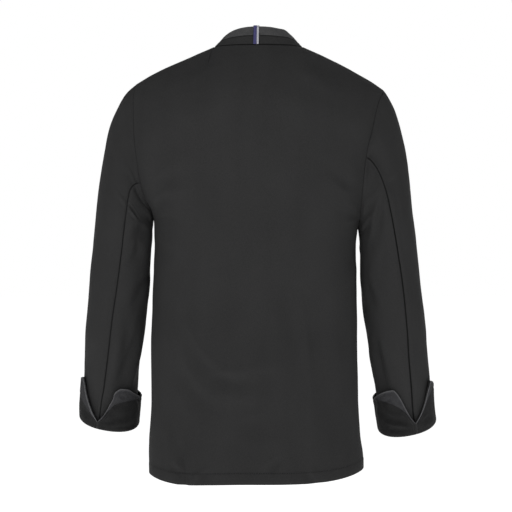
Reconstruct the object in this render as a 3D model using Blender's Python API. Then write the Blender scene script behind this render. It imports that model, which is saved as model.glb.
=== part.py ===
"""Chef jacket, filled out as if worn, with no wearer in it.

Every cloth piece is a wall of even thickness. The body is a tube of flattened
rounds that closes over the shoulders, the sleeves are rings that fan out of the
armholes, and the cuffs are bands that turn back at the sleeve ends.

Lengths in the tables are millimetres; the finished meshes are in metres.
+Z is up, +Y is the back, +X is the wearer's left. The origin is the middle of
the neck opening, level with the neck end of the shoulders.
"""

import math

import bpy
import numpy as np

MM = 0.001

# Cloth
WALL = 1.6                # shell fabric with its turnings
COLLAR_WALL = 2.0         # two layers and an interlining
TRIM_WALL = 1.0           # facing strips and tape
SEAM_GAP = 0.3            # pieces stand this far apart at a seam

# Grid of the body
ARM_ROWS = 12             # rows from the shoulder to the armpit
BODY_ROWS = 10            # rows from the armpit to the hem
NECK_COLUMNS = 5          # columns from the centre to the neck point
SHOULDER_COLUMNS = 5      # columns from the neck point to the shoulder point
LAP_COLUMNS = 3           # columns of a front past the centre

# Body
SQUARENESS = 2.35         # exponent of the body's flattened round
NECK_CENTRE = -3.0        # the neck sits a little to the wearer's right
NECK_HALF_WIDTH = 76.0
NECK_BACK = 66.0          # neck opening, centre to back
NECK_FRONT = 74.0         # neck opening, centre to front
NECK_HEIGHT = 1.5         # neck points
NECK_BACK_DROP = 3.0
NECK_FRONT_DROP = 54.0
NECK_FRONT_CURVE = 2.2    # how late the front neckline starts to drop
ROUND_AT_NECK = 140.0     # height over which the shoulder rounds off
ROUND_AT_SHOULDER = 100.0
ARMHOLE_BACK = 62.0       # armhole, shoulder line to its back edge
ARMHOLE_FRONT = 56.0
HEM = -733.0
WAIST_OUT = 174.0         # half-width of the round below WAIST_TOP
CHEST_OUT = 216.0         # the same above CHEST_TOP, as if there were no armholes
WAIST_TOP = -440.0
CHEST_TOP = -150.0
FRONT_LAP = 80.0          # front edge to centre front
FRONT_LAP_TOP = 50.0      # the same at the neckline
LAP_DROP = 7.0            # a lapped top edge lies this far under the neckline
LAP_DEPTH = 2.6           # the under front lies this far inside

# Collar
COLLAR_BACK_HEIGHT = 30.0
COLLAR_SIDE_HEIGHT = 17.0
COLLAR_FRONT_HEIGHT = 22.0
COLLAR_BACK_LEAN = 12.0
COLLAR_SIDE_LEAN = 17.0
COLLAR_SPLIT = 0.49       # part of the height that the lower band takes
COLLAR_END = 5.0          # degrees between each collar end and centre front
TAPE_WIDTH = 10.0

# Sleeves and cuffs
SLEEVE_SQUARENESS = 2.2
FRONT_SEAM = 105.0        # degrees from the sleeve's outer line to its front seam
FACING_ROWS = 3
FACING_COLUMNS = 12
CUFF_ROWS = 7
CUFF_COLUMNS = 28
CUFF_STAND = 7.2          # outer face of the cuff to the sleeve under it, at the fold
CUFF_STAND_TOP = 5.6      # the same at its free edge
CUFF_FULL_HEIGHT = 75.0
CUFF_LOWEST = 4.4         # radius of the fold
FOLD_START = 1.6          # the fold starts this far past the sleeve end

# Buttons
BUTTON_RADIUS = 7.5
BUTTON_THICK = 3.0
BUTTON_COLUMN = 62.0
BUTTON_HEIGHTS = (-110.0, -205.0, -300.0, -395.0, -490.0)

KEY_SHIFT = 0.00123       # keeps shared points clear of a rounding step

BLACK = (0.030, 0.030, 0.031)
GREY = (0.052, 0.052, 0.056)
INDIGO = (0.075, 0.070, 0.190)


def pchip(keys, values, key):
    """Smooth curve through the rows that never overshoots between two of them."""
    keys = np.asarray(keys, float)
    values = np.asarray(values, float)
    step = np.diff(keys)
    slope = np.diff(values) / step
    tangent = np.empty_like(values)
    tangent[0], tangent[-1] = slope[0], slope[-1]
    same = slope[:-1] * slope[1:] > 0
    w1 = 2 * step[1:] + step[:-1]
    w2 = step[1:] + 2 * step[:-1]
    safe_a = np.where(same, slope[:-1], 1.0)
    safe_b = np.where(same, slope[1:], 1.0)
    tangent[1:-1] = np.where(same, (w1 + w2) / (w1 / safe_a + w2 / safe_b), 0.0)
    key = np.clip(np.asarray(key, float), keys[0], keys[-1])
    i = np.clip(np.searchsorted(keys, key, side="right") - 1, 0, len(step) - 1)
    t = (key - keys[i]) / step[i]
    low = values[i] * (1 + 2 * t) * (1 - t) ** 2 + tangent[i] * step[i] * t * (1 - t) ** 2
    high = values[i + 1] * t * t * (3 - 2 * t) + tangent[i + 1] * step[i] * t * t * (t - 1)
    return low + high


class Table:
    """Rows of numbers with named columns; the first column is the key."""

    def __init__(self, names, rows):
        self.names = names.split()
        self.rows = np.array(rows, float)

    def at(self, name, key):
        return pchip(self.rows[:, 0], self.rows[:, self.names.index(name)], key)


DEPTH = Table("height back front", [
    (-745, 116, 124),
    (-600, 108, 120),
    (-450, 104, 118),
    (-300, 112, 127),
    (-150, 116, 120),
    (-60, 112, 108),
    (10, 110, 104),
])

# Half-widths of the body: side seams below the armpit, armhole seams above it
EDGE = {
    "left": Table("height out", [
        (-745, 182), (-657, 182), (-605, 179), (-519, 180), (-433, 177), (-340, 174), (-292, 176),
        (-284, 178), (-254, 191), (-222, 198), (-192, 202), (-156, 206), (-84, 208.5), (-64, 207.5),
    ]),
    "right": Table("height out", [
        (-745, 180), (-709, 182), (-657, 177), (-605, 174), (-519, 172), (-433, 172), (-340, 172),
        (-311, 173.5), (-275, 176), (-232, 179), (-181, 185), (-151, 193), (-99, 206), (-74, 218.5),
    ]),
}
RIDGE = {
    "left": Table("out height", [(73, 1.5), (113, -15), (155, -34), (182, -48), (208, -64)]),
    "right": Table("out height", [
        (79, 1.5), (107, -10), (134, -24), (162, -38), (189, -53), (219, -74),
    ]),
}
SHOULDER = {"left": -64.0, "right": -74.0}
ARMPIT = {"left": -292.0, "right": -311.0}
FRONT_INSET = {"left": 14.0, "right": 6.0}
HEM_RISE = {"left": 1.0, "right": 11.0}
SIGN = {"left": 1.0, "right": -1.0}

# One row for each ring of a sleeve: its outermost and its lowest inner point, its
# middle and half-depth front to back, the angle of the back seam from the outer
# line, the forward lean of the ring, and how much it still follows the armhole
SLEEVE_COLUMNS = "ring out_x out_z in_x in_z mid_y depth seam lean armhole"
SLEEVE = {
    "left": Table(SLEEVE_COLUMNS, [
        (0, 207.5, -64, 176, -292, 0, 60, 120, 0, 1),
        (1, 224, -79, 176.8, -294, 0, 60.5, 117, 0, 0.9),
        (2, 239, -105, 177.6, -298, 0, 61, 112, 0, 0.72),
        (3, 251, -139, 178.5, -304, 0, 62, 106, 0, 0.52),
        (4, 260, -177, 179.4, -313, 0, 62, 101, 0, 0.34),
        (5, 267, -220, 180.2, -327, -1, 62, 96, 0.02, 0.18),
        (6, 273, -267, 181, -348, -2, 62, 93.5, 0.04, 0.06),
        (7, 278, -315, 182.3, -372, -4, 61, 92.5, 0.06, 0),
        (8, 283, -361, 184, -401, -7, 60, 90, 0.09, 0),
        (9, 288, -411, 187, -436, -11, 58, 85, 0.12, 0),
        (10, 293, -462, 191, -476, -17, 56, 81.5, 0.16, 0),
        (11, 297, -513, 198.5, -521, -26, 53, 78.5, 0.2, 0),
        (12, 300, -561, 207, -568, -37, 50, 73, 0.24, 0),
        (13, 302, -598, 209, -606, -47, 48.5, 69, 0.26, 0),
        (14, 304, -636, 212, -645, -57, 47, 67, 0.26, 0),
        (15, 305, -674, 215.5, -684, -66, 46, 67, 0.26, 0),
    ]),
    "right": Table(SLEEVE_COLUMNS, [
        (0, 218.5, -74, 173.5, -311, 0, 60, 90, 0, 1),
        (1, 230, -91, 174.4, -313, 0, 60.5, 88, 0, 0.9),
        (2, 241, -119, 175.2, -317, 0, 61, 86.5, 0, 0.72),
        (3, 250.5, -155, 176, -323, 0, 62, 85, 0, 0.52),
        (4, 257, -193, 176.8, -332, 0, 62, 83, 0, 0.34),
        (5, 261.5, -236, 177.5, -346, -1, 62, 81, 0.02, 0.18),
        (6, 266, -279, 178.3, -365, -2, 62, 78, 0.04, 0.06),
        (7, 271.5, -324, 179.5, -389, -4, 61, 75, 0.06, 0),
        (8, 276.5, -369, 182, -419, -7, 60, 71, 0.09, 0),
        (9, 282, -416, 185.5, -450, -11, 58, 68, 0.12, 0),
        (10, 287.5, -463, 190, -486, -17, 56, 67, 0.16, 0),
        (11, 293.5, -513, 195.5, -528, -26, 53, 69, 0.2, 0),
        (12, 301, -568, 206, -578, -37, 50, 71, 0.24, 0),
        (13, 304, -607, 214, -618, -47, 48.5, 71, 0.26, 0),
        (14, 308, -646, 221.5, -657, -57, 47, 71, 0.26, 0),
        (15, 311, -685, 227, -697, -66, 46, 71, 0.26, 0),
    ]),
}
SLEEVE_END = 14.0
CUFF_RING = 41.0          # sleeve length between two rings at the cuff

# Turned-back cuffs: height above the fold against the angle round the sleeve,
# for the two edges of the vent and the free edge between them
VENT_INNER = {
    "left": Table("height angle", [
        (0, 67.6), (9, 68.5), (25, 82), (42, 90), (53, 96), (62, 98), (70, 109),
    ]),
    "right": Table("height angle", [
        (0, 71.1), (13, 71.6), (30, 81.5), (43, 86.5), (57, 92.5), (67, 99), (74, 106),
    ]),
}
VENT_OUTER = {
    "left": Table("height angle", [
        (0, 67.0), (9, 66.8), (22, 58), (37, 50), (51, 43), (66, 36.5), (74, 29.5),
    ]),
    "right": Table("height angle", [
        (0, 70.5), (13, 70.3), (26, 60), (41, 50), (55, 44), (65, 39), (80, 26),
    ]),
}
CUFF_EDGE = {
    "left": Table("angle height", [
        (109, 70), (125, 67), (144, 57), (180, 43), (270, 48), (360, 64), (377, 71), (389.5, 74),
    ]),
    "right": Table("angle height", [
        (106, 74), (119, 72), (134, 68), (151, 62), (180, 52), (270, 54), (350, 62), (373, 73), (386, 80),
    ]),
}
# Seams between the black cuff and its grey facing, as angle and height, from the
# foot of the vent to the far end of the facing
FACING_INNER = {
    "left": Table("along angle height", [
        (0, 72, 11), (0.25, 87, 29), (0.45, 100, 40), (0.65, 119, 44), (0.85, 145, 44), (1, 165, 43),
    ]),
    "right": Table("along angle height", [
        (0, 75, 16), (0.25, 88, 34), (0.45, 99, 44), (0.65, 116, 52), (0.85, 142, 55), (1, 162, 52),
    ]),
}
FACING_OUTER = {
    "left": Table("along angle height", [(0, 63, 12), (0.4, 47, 33), (0.7, 34, 47), (1, 20, 62)]),
    "right": Table("along angle height", [(0, 66, 16), (0.4, 50, 38), (0.7, 38, 55), (1, 20, 68)]),
}


def smooth(t):
    t = np.clip(t, 0.0, 1.0)
    return t * t * (3 - 2 * t)


def mix(a, b, t):
    return a + (b - a) * t


def rounding(s):
    """Depth kept at s of the way down the shoulder's rounding."""
    return np.sqrt(np.clip(1 - (1 - np.clip(s, 0, 1)) ** 2, 0, 1))


def rounding_for(kept):
    return 1 - math.sqrt(max(0.0, 1 - min(kept, 1.0) ** 2))


def even_fraction(u):
    """Part of the half-width at u of the way round a quarter of the body."""
    turn = np.linspace(0, math.pi / 2, 721)
    x = np.sin(turn) ** (2 / SQUARENESS)
    y = np.cos(turn) ** (2 / SQUARENESS) * 0.64
    length = np.concatenate([[0], np.cumsum(np.hypot(np.diff(x), np.diff(y)))])
    return np.interp(u * length[-1], length, x)


def side_of(x):
    return "left" if x >= 0 else "right"


def armhole_angle(row):
    return math.pi * row / ARM_ROWS


def edge_height(side, row):
    """Height of the body's edge: down the armhole, then down the side seam."""
    if row <= ARM_ROWS:
        middle = (SHOULDER[side] + ARMPIT[side]) / 2
        return middle + (SHOULDER[side] - ARMPIT[side]) / 2 * math.cos(armhole_angle(row))
    return mix(ARMPIT[side], HEM + HEM_RISE[side], (row - ARM_ROWS) / BODY_ROWS)


def edge_out(side, face, row):
    out = float(EDGE[side].at("out", edge_height(side, row)))
    if face < 0 and row < ARM_ROWS:
        out -= FRONT_INSET[side] * math.sin(armhole_angle(row)) ** 2
    return out


def face_depth(face, height):
    return float(DEPTH.at("back" if face > 0 else "front", height))


def full_out(side, face, row):
    """Half-width of the whole round that the armhole cuts off."""
    out = edge_out(side, face, row)
    if row >= ARM_ROWS:
        return out
    row = max(row, 0.01)
    height = edge_height(side, row)
    edge = (ARMHOLE_BACK if face > 0 else ARMHOLE_FRONT) * math.sin(armhole_angle(row))
    kept = float(rounding((SHOULDER[side] - height) / ROUND_AT_SHOULDER))
    part = edge / (face_depth(face, height) * kept)
    return out / (1 - part ** SQUARENESS) ** (1 / SQUARENESS)


def round_out(side, face, row, x, height):
    """Half-width of the round at x: even in the middle, the armhole's at the edge."""
    if row == 0 or row >= ARM_ROWS + BODY_ROWS / 2:
        return full_out(side, face, row)
    middle = mix(WAIST_OUT, CHEST_OUT, float(smooth((height - WAIST_TOP) / (CHEST_TOP - WAIST_TOP))))
    share = float(smooth((abs(x) / edge_out(side, face, row) - 0.45) / 0.5))
    near_top = float(smooth(row / 3)) * float(smooth((ARM_ROWS + BODY_ROWS / 2 - row) / 3))
    return mix(full_out(side, face, row), middle, (1 - share) * near_top)


def neck_point(face, angle):
    """Neckline at an angle from the centre, towards the wearer's left."""
    cosine = math.cos(angle)
    depth = NECK_BACK if face > 0 else NECK_FRONT
    drop = NECK_BACK_DROP * cosine if face > 0 else NECK_FRONT_DROP * cosine ** NECK_FRONT_CURVE
    return np.array([
        NECK_CENTRE + NECK_HALF_WIDTH * math.sin(angle),
        face * depth * cosine,
        NECK_HEIGHT - drop,
    ])


def column_top(face, top_x):
    """Height of the panel's top edge, and how far down the rounding it lies."""
    side = side_of(top_x)
    from_neck = (top_x - NECK_CENTRE) / NECK_HALF_WIDTH
    if abs(from_neck) >= 1:
        return float(RIDGE[side].at("height", abs(top_x))), 0.0
    point = neck_point(face, math.asin(from_neck))
    part = min(abs(top_x) / full_out(side, face, 0), 1)
    full = face_depth(face, point[2]) * (1 - part ** SQUARENESS) ** (1 / SQUARENESS)
    return point[2], rounding_for(abs(point[1]) / full)


def body_point(face, row, x, top_x, drop=0.0):
    """Point of the body in the column that starts at top_x of the top edge."""
    side = side_of(x)
    from_neck = (top_x - NECK_CENTRE) / NECK_HALF_WIDTH
    if row == 0 and drop == 0 and abs(from_neck) < 1:
        return neck_point(face, math.asin(from_neck))
    reach = top_x / (abs(edge_out(side_of(top_x), face, 0)))
    top, start = column_top(face, top_x)
    armpit = mix(ARMPIT["right"], ARMPIT["left"], (reach + 1) / 2)
    hem = HEM + HEM_RISE[side] * min(abs(x) / 180, 1) ** 2.5
    if row <= ARM_ROWS:
        down = (1 - math.cos(armhole_angle(row))) / 2
        height = mix(top - drop, armpit, down)
    else:
        height = mix(armpit, hem, (row - ARM_ROWS) / BODY_ROWS)
    part = min(abs(x) / round_out(side, face, row, x, height), 1)
    flat = (1 - part ** SQUARENESS) ** (1 / SQUARENESS)
    span = mix(ROUND_AT_NECK, ROUND_AT_SHOULDER, abs(reach))
    kept = float(rounding(start + (top - height) / span))
    return np.array([x, face * face_depth(face, height) * flat * kept, height])


def top_x_of(u, side):
    """Where column u, 0 at the centre and 1 at the armhole, starts."""
    neck_share = NECK_COLUMNS / (NECK_COLUMNS + SHOULDER_COLUMNS)
    sign = SIGN[side]
    if u <= neck_share:
        return NECK_CENTRE + sign * NECK_HALF_WIDTH * math.sin(math.pi / 2 * u / neck_share)
    neck = NECK_CENTRE + sign * NECK_HALF_WIDTH
    return mix(neck, sign * edge_out(side, 1, 0), (u - neck_share) / (1 - neck_share))


def column_x(u, side, face, row):
    """Columns keep their share of the width, evened out on the way down to the armpit."""
    top_share = top_x_of(u, side) / edge_out(side, face, 0)
    low_share = SIGN[side] * float(even_fraction(u))
    return edge_out(side, face, row) * mix(top_share, low_share, float(smooth(row / ARM_ROWS)))


def half_columns():
    count = NECK_COLUMNS + SHOULDER_COLUMNS
    return [i / count for i in range(count + 1)]


def panel_point(u, side, face, row):
    """Point of a panel's grid; its armhole edge is the armhole seam itself."""
    if u == 1 and row <= ARM_ROWS:
        return armhole_point(side, face * armhole_angle(row)) * np.array([SIGN[side], 1, 1])
    return body_point(face, row, column_x(u, side, face, row), top_x_of(u, side))


def back_grid():
    columns = [("right", u) for u in reversed(half_columns()[1:])]
    columns += [("left", u) for u in half_columns()]
    rows = range(ARM_ROWS + BODY_ROWS + 1)
    return np.array([[panel_point(u, side, 1, row) for side, u in columns] for row in rows])


def lap_width(row):
    return mix(FRONT_LAP_TOP, FRONT_LAP, float(smooth(row / 6)))


def lap_inward(x, row):
    """How far the right front dips under the left one, where they lap."""
    begin = mix(-76.0, -112.0, float(smooth(row / 6)))
    return LAP_DEPTH * float(smooth((x - begin) / 24.0))


def column_under(x, side, row):
    """Which column of the other front lies at x, so that the laps share a form."""
    shares = np.linspace(0, 1, 201)
    across = [abs(column_x(u, side, -1, row)) for u in shares]
    return float(np.interp(abs(x), across, shares))


def front_grid(side):
    """One front, from its side seam over centre front to its free edge."""
    other = "right" if side == "left" else "left"
    grid = []
    for row in range(ARM_ROWS + BODY_ROWS + 1):
        line = [panel_point(u, side, -1, row) for u in reversed(half_columns())]
        last = column_under(lap_width(row), other, row)
        for i in range(1, LAP_COLUMNS + 1):
            u = last * i / LAP_COLUMNS
            drop = LAP_DROP * float(smooth(i / LAP_COLUMNS * 2.4))
            line.append(body_point(-1, row, column_x(u, other, -1, row), top_x_of(u, other), drop))
        grid.append(line if side == "left" else line[::-1])
    grid = np.array(grid)
    if side == "left":
        return grid
    inward = np.array([[lap_inward(point[0], row) for point in line] for row, line in enumerate(grid)])
    inward[0, LAP_COLUMNS + 1:] = 0.0
    return grid - unit(grid_normals(grid)) * inward[:, :, None]


def armhole_point(side, angle):
    """Armhole seam at an angle from the shoulder point, over the back.

    It is given as on the wearer's left; the right one has its x reversed.
    """
    face = 1 if math.sin(angle) >= 0 else -1
    turn = math.acos(max(-1.0, min(1.0, math.cos(angle))))
    row = turn / math.pi * ARM_ROWS
    depth = ARMHOLE_BACK if face > 0 else ARMHOLE_FRONT
    return np.array([
        edge_out(side, face, min(row, ARM_ROWS)),
        face * depth * math.sin(turn),
        edge_height(side, min(row, ARM_ROWS)),
    ])


def plain_ring(side, ring, angle):
    """Sleeve ring as a leaning oval, before the armhole pulls it into shape."""
    table = SLEEVE[side]
    value = {name: float(table.at(name, ring)) for name in table.names[1:]}
    cosine, sine = math.cos(angle), math.sin(angle)
    along = math.copysign(abs(cosine) ** (2 / SLEEVE_SQUARENESS), cosine)
    across = math.copysign(abs(sine) ** (2 / SLEEVE_SQUARENESS), sine) * value["depth"]
    mid_x, half_x = (value["out_x"] + value["in_x"]) / 2, (value["out_x"] - value["in_x"]) / 2
    mid_z, half_z = (value["out_z"] + value["in_z"]) / 2, (value["out_z"] - value["in_z"]) / 2
    return np.array([
        mid_x + half_x * along,
        value["mid_y"] + across,
        mid_z + half_z * along - value["lean"] * across,
    ])


def sleeve_point(side, ring, angle):
    point = plain_ring(side, ring, angle)
    follow = float(SLEEVE[side].at("armhole", ring))
    if follow > 0:
        point = point + follow * (armhole_point(side, angle) - plain_ring(side, 0, angle))
    return point * np.array([SIGN[side], 1, 1])


def sleeve_rings():
    """Each table row down to the elbow, then two rings for each row."""
    return [float(i) for i in range(8)] + [7.5 + 0.5 * i for i in range(1, 14)]


def seam_columns(side):
    return round(float(SLEEVE[side].at("seam", 0)) / (180 / ARM_ROWS))


def sleeve_angles(side, ring, piece):
    """Angles of the grid lines of a sleeve piece, in degrees."""
    seam = float(SLEEVE[side].at("seam", ring))
    back = seam_columns(side)
    step = 180 // ARM_ROWS
    front = int(FRONT_SEAM) // step
    if piece == "upper":
        return [seam * i / back for i in range(back, 0, -1)] + [-step * i for i in range(front + 1)]
    under = [mix(seam, 180.0, i / (ARM_ROWS - back)) for i in range(ARM_ROWS - back)]
    return under + [180.0 + step * i for i in range(ARM_ROWS - front + 1)]


def sleeve_grid(side, piece):
    return np.array([
        [sleeve_point(side, ring, math.radians(a)) for a in sleeve_angles(side, ring, piece)]
        for ring in sleeve_rings()
    ])


def sleeve_normal(side, ring, angle):
    """Outward normal and downward direction of the sleeve."""
    step = 0.02
    down = sleeve_point(side, ring + step, angle) - sleeve_point(side, ring - step, angle)
    turn = sleeve_point(side, ring, angle + step) - sleeve_point(side, ring, angle - step)
    normal = np.cross(down, turn) * SIGN[side]
    return normal / np.linalg.norm(normal), down / np.linalg.norm(down)


def cuff_point(side, angle, height, lift=0.0):
    """Outer face of the turned-back cuff, height above the fold in millimetres."""
    ring = SLEEVE_END - max(height, 0.0) / CUFF_RING
    turn = math.radians(angle)
    normal, down = sleeve_normal(side, ring, turn)
    stand = mix(CUFF_STAND, CUFF_STAND_TOP, float(smooth(height / CUFF_FULL_HEIGHT)))
    return sleeve_point(side, ring, turn) + normal * (stand + lift) - down * min(height, 0.0)


def cuff_fold_point(side, angle, turn_back):
    """The fold, from the sleeve's inner face, 0, round to the outer face, 1.

    Below 0 it is the edge that meets the sleeve.
    """
    ring = SLEEVE_END
    turn = math.radians(angle)
    normal, down = sleeve_normal(side, ring, turn)
    middle = (CUFF_STAND - WALL) / 2
    radius = (CUFF_STAND + WALL) / 2
    part = max(turn_back, 0.0)
    out = middle - radius * math.cos(math.pi * part)
    low = CUFF_LOWEST * math.sin(math.pi * part) + FOLD_START * (1 - part)
    if turn_back < 0:
        low = SEAM_GAP / 2
    return sleeve_point(side, ring, turn) + normal * out + down * low


def cuff_grid(side):
    """From the sleeve end, round the fold and up the band to its free edge."""
    start = float(CUFF_EDGE[side].rows[0, 0])
    end = float(CUFF_EDGE[side].rows[-1, 0])
    low_in = float(VENT_INNER[side].at("angle", 0))
    low_out = 360 + float(VENT_OUTER[side].at("angle", 0))
    columns = [i / CUFF_COLUMNS for i in range(CUFF_COLUMNS + 1)]
    grid = []
    for turn_back in (-1.0, 0.0, 0.2, 0.4, 0.6, 0.8, 1.0):
        grid.append([cuff_fold_point(side, mix(low_in, low_out, c), turn_back) for c in columns])
    for i in range(1, CUFF_ROWS + 1):
        part = i / CUFF_ROWS
        inner = float(VENT_INNER[side].at("angle", part * VENT_INNER[side].rows[-1, 0]))
        outer = 360 + float(VENT_OUTER[side].at("angle", part * VENT_OUTER[side].rows[-1, 0]))
        line = []
        for c in columns:
            height = float(CUFF_EDGE[side].at("height", mix(start, end, c))) * part
            line.append(cuff_point(side, mix(inner, outer, c), height))
        grid.append(line)
    return np.array(grid)


def facing_grid(side, flap):
    """Grey facing between its seam and the vent and free edges of a flap."""
    rows, columns = FACING_ROWS, FACING_COLUMNS
    seam = (FACING_INNER if flap == "inner" else FACING_OUTER)[side]
    vent = (VENT_INNER if flap == "inner" else VENT_OUTER)[side]
    foot, tip = vent.rows[1, 0], vent.rows[-1, 0]
    far = float(seam.at("angle", 1))
    bend = 0.5 if flap == "inner" else 0.9
    near = float(vent.at("angle", tip))
    grid = []
    for i in range(rows + 1):
        line = []
        for j in range(columns + 1):
            along = j / columns
            if along <= bend:
                height = mix(foot, tip, along / bend)
                edge = (float(vent.at("angle", height)), height)
            else:
                angle = mix(near, far, (along - bend) / (1 - bend))
                turned = angle if flap == "inner" else angle + 360
                edge = (angle, float(CUFF_EDGE[side].at("height", turned)))
            low = (float(seam.at("angle", along)), float(seam.at("height", along)))
            part = i / rows
            line.append(cuff_point(side, mix(low[0], edge[0], part), mix(low[1], edge[1], part),
                                   SEAM_GAP + TRIM_WALL))
        grid.append(line)
    return np.array(grid)


def neckline_corner(angle):
    """Corner of the neckline at degrees from centre back."""
    turn = math.radians(angle)
    face = 1 if math.cos(turn) >= 0 else -1
    return neck_point(face, math.asin(max(-1.0, min(1.0, math.sin(turn)))))


def collar_point(angle, part):
    """Collar at degrees from centre back, part of the way up its height."""
    turn = math.radians(angle)
    face = 1 if math.cos(turn) >= 0 else -1
    step = 90 / NECK_COLUMNS
    corner = math.floor(angle / step + 1e-6) * step
    base = mix(neckline_corner(corner), neckline_corner(corner + step), (angle - corner) / step)
    sideways = abs(math.sin(turn)) ** 2
    if face > 0:
        height = mix(COLLAR_BACK_HEIGHT, COLLAR_SIDE_HEIGHT, sideways)
        lean = mix(COLLAR_BACK_LEAN, COLLAR_SIDE_LEAN, sideways)
    else:
        height = mix(COLLAR_FRONT_HEIGHT, COLLAR_SIDE_HEIGHT, sideways)
        lean = mix(COLLAR_BACK_LEAN, COLLAR_SIDE_LEAN, sideways)
    inward = np.array([math.sin(turn), math.cos(turn), 0]) * -lean
    return base + part * (inward + np.array([0, 0, height]))


def collar_angles():
    step = 90 / NECK_COLUMNS
    count = 2 * NECK_COLUMNS
    inner = [i * step for i in range(-count + 1, count)]
    return [-180 + COLLAR_END] + inner + [180 - COLLAR_END]


def collar_grid(low, high):
    """A band of the collar, its top row first."""
    return np.array([
        [collar_point(angle, part) for angle in collar_angles()]
        for part in (high, (low + high) / 2, low)
    ])


def tape_line(part):
    """Points across the tape's width, on the flats of the collar."""
    step = 90 / NECK_COLUMNS
    centre = collar_point(0, part)
    line = []
    for share in (-1.0, 0.0, 1.0):
        beside = collar_point(math.copysign(step, share), part)
        reach = abs(share) * TAPE_WIDTH / 2 / abs(beside[0] - centre[0])
        line.append(mix(centre, beside, reach))
    return np.array(line)


def tape_grid():
    """Tape up the back of the collar, over its top edge and a little way down inside."""
    lift = SEAM_GAP + TRIM_WALL
    up = unit(collar_point(0, 1) - collar_point(0, 0))
    out = np.array([0, up[2], -up[1]])
    far = -COLLAR_WALL - lift
    grid = [tape_line(part) + out * lift for part in (0.0, 0.25, 0.5, 0.75, 1.0)]
    turn_over = (
        (lift, 0.45), (0.7 * lift, 0.9), (0.0, 1.0), (far + lift, 1.0), (far + 0.3 * lift, 0.9),
        (far, 0.45), (far, -2.0), (far, -5.0),
    )
    for across, over in turn_over:
        grid.append(tape_line(1.0) + out * across + up * lift * 1.1 * over)
    return np.array(grid)


def grid_normals(grid):
    """Unnormalised outward normals of a grid, weighted by area."""
    total = np.zeros_like(grid)
    a, b = grid[:-1, :-1], grid[:-1, 1:]
    c, d = grid[1:, 1:], grid[1:, :-1]
    area = np.cross(c - a, d - b)
    total[:-1, :-1] += area
    total[:-1, 1:] += area
    total[1:, 1:] += area
    total[1:, :-1] += area
    return total


def unit(vectors):
    return vectors / np.maximum(np.linalg.norm(vectors, axis=-1, keepdims=True), 1e-9)


def seam_normals(grids):
    """Normals that pieces share where they meet, so their walls meet square.

    Where two pieces fold back on each other, as under the arm, each keeps its own
    normal, and the second result says how far it draws back from the other's face.
    """
    normals = {name: grid_normals(grid) for name, grid in grids.items()}
    shared = {}
    for name, grid in grids.items():
        for index in np.ndindex(grid.shape[:2]):
            key = tuple(np.round(grid[index] + KEY_SHIFT, 2))
            shared[key] = shared.get(key, 0) + unit(normals[name][index])
    part_way = {}
    for name, grid in grids.items():
        own = unit(normals[name])
        folded = np.zeros(grid.shape[:2])
        for index in np.ndindex(grid.shape[:2]):
            middle = unit(shared[tuple(np.round(grid[index] + KEY_SHIFT, 2))])
            folded[index] = 1 - smooth((np.dot(middle, own[index]) - 0.4) / 0.35)
            normals[name][index] = mix(middle, own[index], folded[index])
        normals[name] = unit(normals[name])
        part_way[name] = own * folded[:, :, None]
    return normals, part_way


def square_to_edge(edge, beside):
    """Directions from an edge into its piece, square to the edge."""
    along = unit(np.gradient(edge, axis=0))
    inward = beside - edge
    return unit(inward - along * np.sum(inward * along, axis=1, keepdims=True))


def open_seams(grid, folded):
    """Draw each outer row and column back by half of the seam gap."""
    half = SEAM_GAP / 2
    moved = grid - folded * half
    moved[0] += square_to_edge(grid[0], grid[1]) * half
    moved[-1] += square_to_edge(grid[-1], grid[-2]) * half
    moved[:, 0] += square_to_edge(grid[:, 0], grid[:, 1]) * half
    moved[:, -1] += square_to_edge(grid[:, -1], grid[:, -2]) * half
    return moved


def make_material(name, colour, roughness):
    material = bpy.data.materials.new(name)
    material.use_nodes = True
    shader = material.node_tree.nodes["Principled BSDF"]
    shader.inputs["Base Color"].default_value = (*colour, 1.0)
    shader.inputs["Roughness"].default_value = roughness
    shader.inputs["Metallic"].default_value = 0.0
    return material


def add_object(name, vertices, faces, material):
    mesh = bpy.data.meshes.new(name)
    mesh.from_pydata([tuple(v) for v in vertices], [], faces)
    mesh.materials.append(material)
    mesh.shade_smooth()
    mesh.set_sharp_from_angle(angle=math.radians(50))
    item = bpy.data.objects.new(name, mesh)
    bpy.context.scene.collection.objects.link(item)
    return item


def add_wall(name, grid, normals, folded, thickness, material):
    """Closed wall between a grid and the same grid moved inwards."""
    outer = open_seams(grid, folded)
    inner = outer - normals * thickness
    rows, columns = grid.shape[:2]
    count = rows * columns
    vertices = np.concatenate([outer.reshape(-1, 3), inner.reshape(-1, 3)]) * MM
    faces = []
    for i in range(rows - 1):
        for j in range(columns - 1):
            a, b = i * columns + j, i * columns + j + 1
            c, d = b + columns, a + columns
            faces.append((a, b, c, d))
            faces.append((d + count, c + count, b + count, a + count))
    top = list(range(columns))
    right = [i * columns + columns - 1 for i in range(1, rows)]
    bottom = [(rows - 1) * columns + j for j in range(columns - 2, -1, -1)]
    left = [i * columns for i in range(rows - 2, 0, -1)]
    loop = top + right + bottom + left
    for a, b in zip(loop, loop[1:] + loop[:1]):
        faces.append((b, a, a + count, b + count))
    return add_object(name, vertices, faces, material)


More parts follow.
